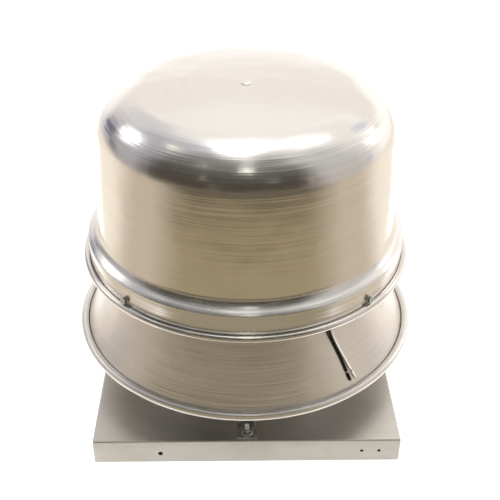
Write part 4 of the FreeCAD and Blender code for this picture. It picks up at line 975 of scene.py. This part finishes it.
# What the metal mirrors, by direction: dark towards the front left, pale at the sides, bright behind.
# front, side and back are colours by the sine of the height; turns are shares of facing the front.
# spots and shades are height, turn from the front, inner and outer width in degrees, and colour
mirrored = {"facing": (-0.26, -0.966, 0.0), "sideTurn": (-0.75, -0.15), "frontTurn": (0.2, 0.65),
            "leftTurn": (-0.3, -0.7), "leftBeside": (0.0, 0.5), "leftShade": (0.78, 0.79, 0.86),
            "middle": 0.42,
            "front": [(0.0, (0.22, 0.19, 0.14)), (0.05, (0.075, 0.066, 0.052)), (0.34, (0.075, 0.068, 0.055)),
                      (0.5, (0.085, 0.08, 0.07)), (0.64, (0.11, 0.108, 0.10)), (0.77, (0.16, 0.162, 0.157)),
                      (0.87, (0.22, 0.225, 0.22)), (0.94, (0.27, 0.275, 0.275)), (0.968, (0.45, 0.46, 0.46)),
                      (0.985, (1.0, 1.0, 1.0)), (0.995, (1.7, 1.7, 1.7)), (1.0, (1.9, 1.9, 1.9))],
            "side": [(0.0, (0.58, 0.55, 0.53)), (0.4, (0.62, 0.60, 0.60)), (0.6, (0.60, 0.595, 0.60)),
                     (0.8, (0.61, 0.61, 0.62)), (0.92, (0.70, 0.70, 0.71)), (0.97, (0.95, 0.95, 0.95)),
                     (0.995, (1.7, 1.7, 1.7)), (1.0, (1.9, 1.9, 1.9))],
            "back": [(0.0, (1.2, 1.17, 1.16)), (0.22, (1.3, 1.27, 1.25)), (0.31, (1.18, 1.15, 1.13)),
                     (0.38, (0.99, 0.945, 0.915)), (0.55, (0.98, 0.94, 0.905)), (0.6, (1.16, 1.14, 1.12)),
                     (0.72, (0.98, 0.96, 0.95)), (0.88, (1.05, 1.04, 1.03)), (1.0, (1.9, 1.9, 1.9))],
            "spots": [(32, -114, 3, 12, (2.1, 2.1, 2.1)), (79, -172, 4, 14, (1.8, 1.8, 1.75)),
                      (62, 132, 3, 11, (1.6, 1.6, 1.6)), (21, 114, 3, 10, (1.5, 1.5, 1.55)),
                      (58, -98, 1, 4.5, (1.3, 1.4, 1.0)), (50, 1, 1, 6, (2.2, 2.25, 2.1)),
                      (60, 2, 1, 6, (0.7, 0.72, 0.66)), (70, 3, 1, 6, (0.4, 0.4, 0.38)),
                      (54, -46, 0.5, 2.5, (1.0, 1.05, 0.8)), (27, -34, 0.5, 2.5, (0.9, 0.85, 0.75)),
                      (25, 19, 0.5, 2.5, (0.9, 0.95, 0.8)), (12, 45, 0.5, 2.5, (0.9, 0.6, 0.35)),
                      (7, -24, 0.5, 2.5, (0.5, 0.4, 0.3))],
            "shades": [(12, -127, 3, 11, (0.16, 0.16, 0.22)), (4, -114, 2, 8, (0.22, 0.20, 0.24)),
                       (-6, -106, 2, 7, (0.30, 0.27, 0.28)), (-9, 89, 1, 4, (0.30, 0.31, 0.48)),
                       (4, 97, 1, 5, (0.36, 0.38, 0.60)), (36, 128, 2, 7, (0.66, 0.69, 0.80)),
                       (79, 72, 3, 12, (0.66, 0.66, 0.65)), (40, -150, 3, 12, (0.75, 0.75, 0.78))]}


def spotMask(tree, toward, height, turn, inner, outer):
    near = vectorCalc(tree, "DOT_PRODUCT", toward, skyward(height, turn))
    return remap(tree, near, math.cos(math.radians(outer)), math.cos(math.radians(inner)), smooth=True)


def directionFrom(tree, place, height):
    return vectorCalc(tree, "NORMALIZE", vectorCalc(tree, "ADD", place, (0, 0, -height)))


def makeDome():
    dome = addPrimitive("dome", bpy.ops.mesh.primitive_uv_sphere_add, segments=studio["domeSegments"],
                        ring_count=studio["domeRings"], radius=studio["domeRadius"])
    editMode()
    pickFaces(dome, lambda face: face.calc_center_median().z < studio["domeLowest"])
    bpy.ops.mesh.delete(type="FACE")
    editMode(False)
    material, tree = emptyMaterial("domeGlow")
    material.cycles.emission_sampling = "NONE"
    place = objectPlace(tree)
    toward = directionFrom(tree, place, studio["domeCentre"])
    rise = splitVector(tree, toward)[2]
    level = vectorCalc(tree, "NORMALIZE", vectorCalc(tree, "MULTIPLY", toward, (1, 1, 0)))
    facing = vectorCalc(tree, "DOT_PRODUCT", level, mirrored["facing"])
    back, side, front = (ramp(tree, rise, mirrored[part]) for part in ("back", "side", "front"))
    colour = mixColour(tree, remap(tree, facing, *mirrored["sideTurn"], smooth=True), back, side)
    shaded = mixColour(tree, 1.0, colour, mirrored["leftShade"], "MULTIPLY")
    left = remap(tree, splitVector(tree, level)[0], *mirrored["leftTurn"], smooth=True)
    beside = calc(tree, "SUBTRACT", 1.0, calc(tree, "ABSOLUTE", facing))
    leftward = calc(tree, "MULTIPLY", left, remap(tree, beside, *mirrored["leftBeside"]))
    colour = mixColour(tree, leftward, colour, shaded)
    colour = mixColour(tree, remap(tree, facing, *mirrored["frontTurn"], smooth=True), colour, front)
    sight = directionFrom(tree, place, mirrored["middle"])
    for blend, part in (("MIX", "shades"), ("ADD", "spots")):
        for *where, light in mirrored[part]:
            colour = mixColour(tree, spotMask(tree, sight, *where), colour, light, blend)
    matt = addNode(tree, "ShaderNodeLightPath").outputs["Is Diffuse Ray"]
    seen = mixColour(tree, matt, colour, (studio["fill"],) * 3)
    glow = addNode(tree, "ShaderNodeEmission", {"Color": seen, "Strength": 1.0})
    wear(dome, material, glow)
    dome.visible_camera = False


# Round lamps for what is matt, hidden from reflections: height and turn in degrees, width in metres, watts
lamps = {"distance": 2.4, "middle": 0.45,
         "list": [(32, -107, 0.52, 8.0), (78, -172, 0.52, 9.0), (63, 122, 0.42, 7.0), (20, 110, 0.50, 5.0),
                  (52, 0, 0.34, 5.0)]}


def makeLamps():
    for number, (height, turn, width, power) in enumerate(lamps["list"]):
        light = bpy.data.lights.new(f"lamp{number}", "AREA")
        light.shape = "DISK"
        light.size = width
        light.energy = power
        thing = bpy.data.objects.new(light.name, light)
        bpy.context.collection.objects.link(thing)
        thing.visible_glossy = False
        toward = skyward(height, turn)
        thing.location = toward * lamps["distance"] + Vector((0, 0, lamps["middle"]))
        thing.rotation_mode = "QUATERNION"
        thing.rotation_quaternion = toward.to_track_quat("Z", "Y")


def makeWorld():
    world = bpy.data.worlds.new("world")
    bpy.context.scene.world = world
    world.use_nodes = True
    back = world.node_tree.nodes["Background"]
    back.inputs["Color"].default_value = (1.0, 1.0, 1.0, 1.0)
    back.inputs["Strength"].default_value = 1.0


makeFloor()
makeCanopy()
makeDome()
makeLamps()
makeWorld()
print("studio lit")
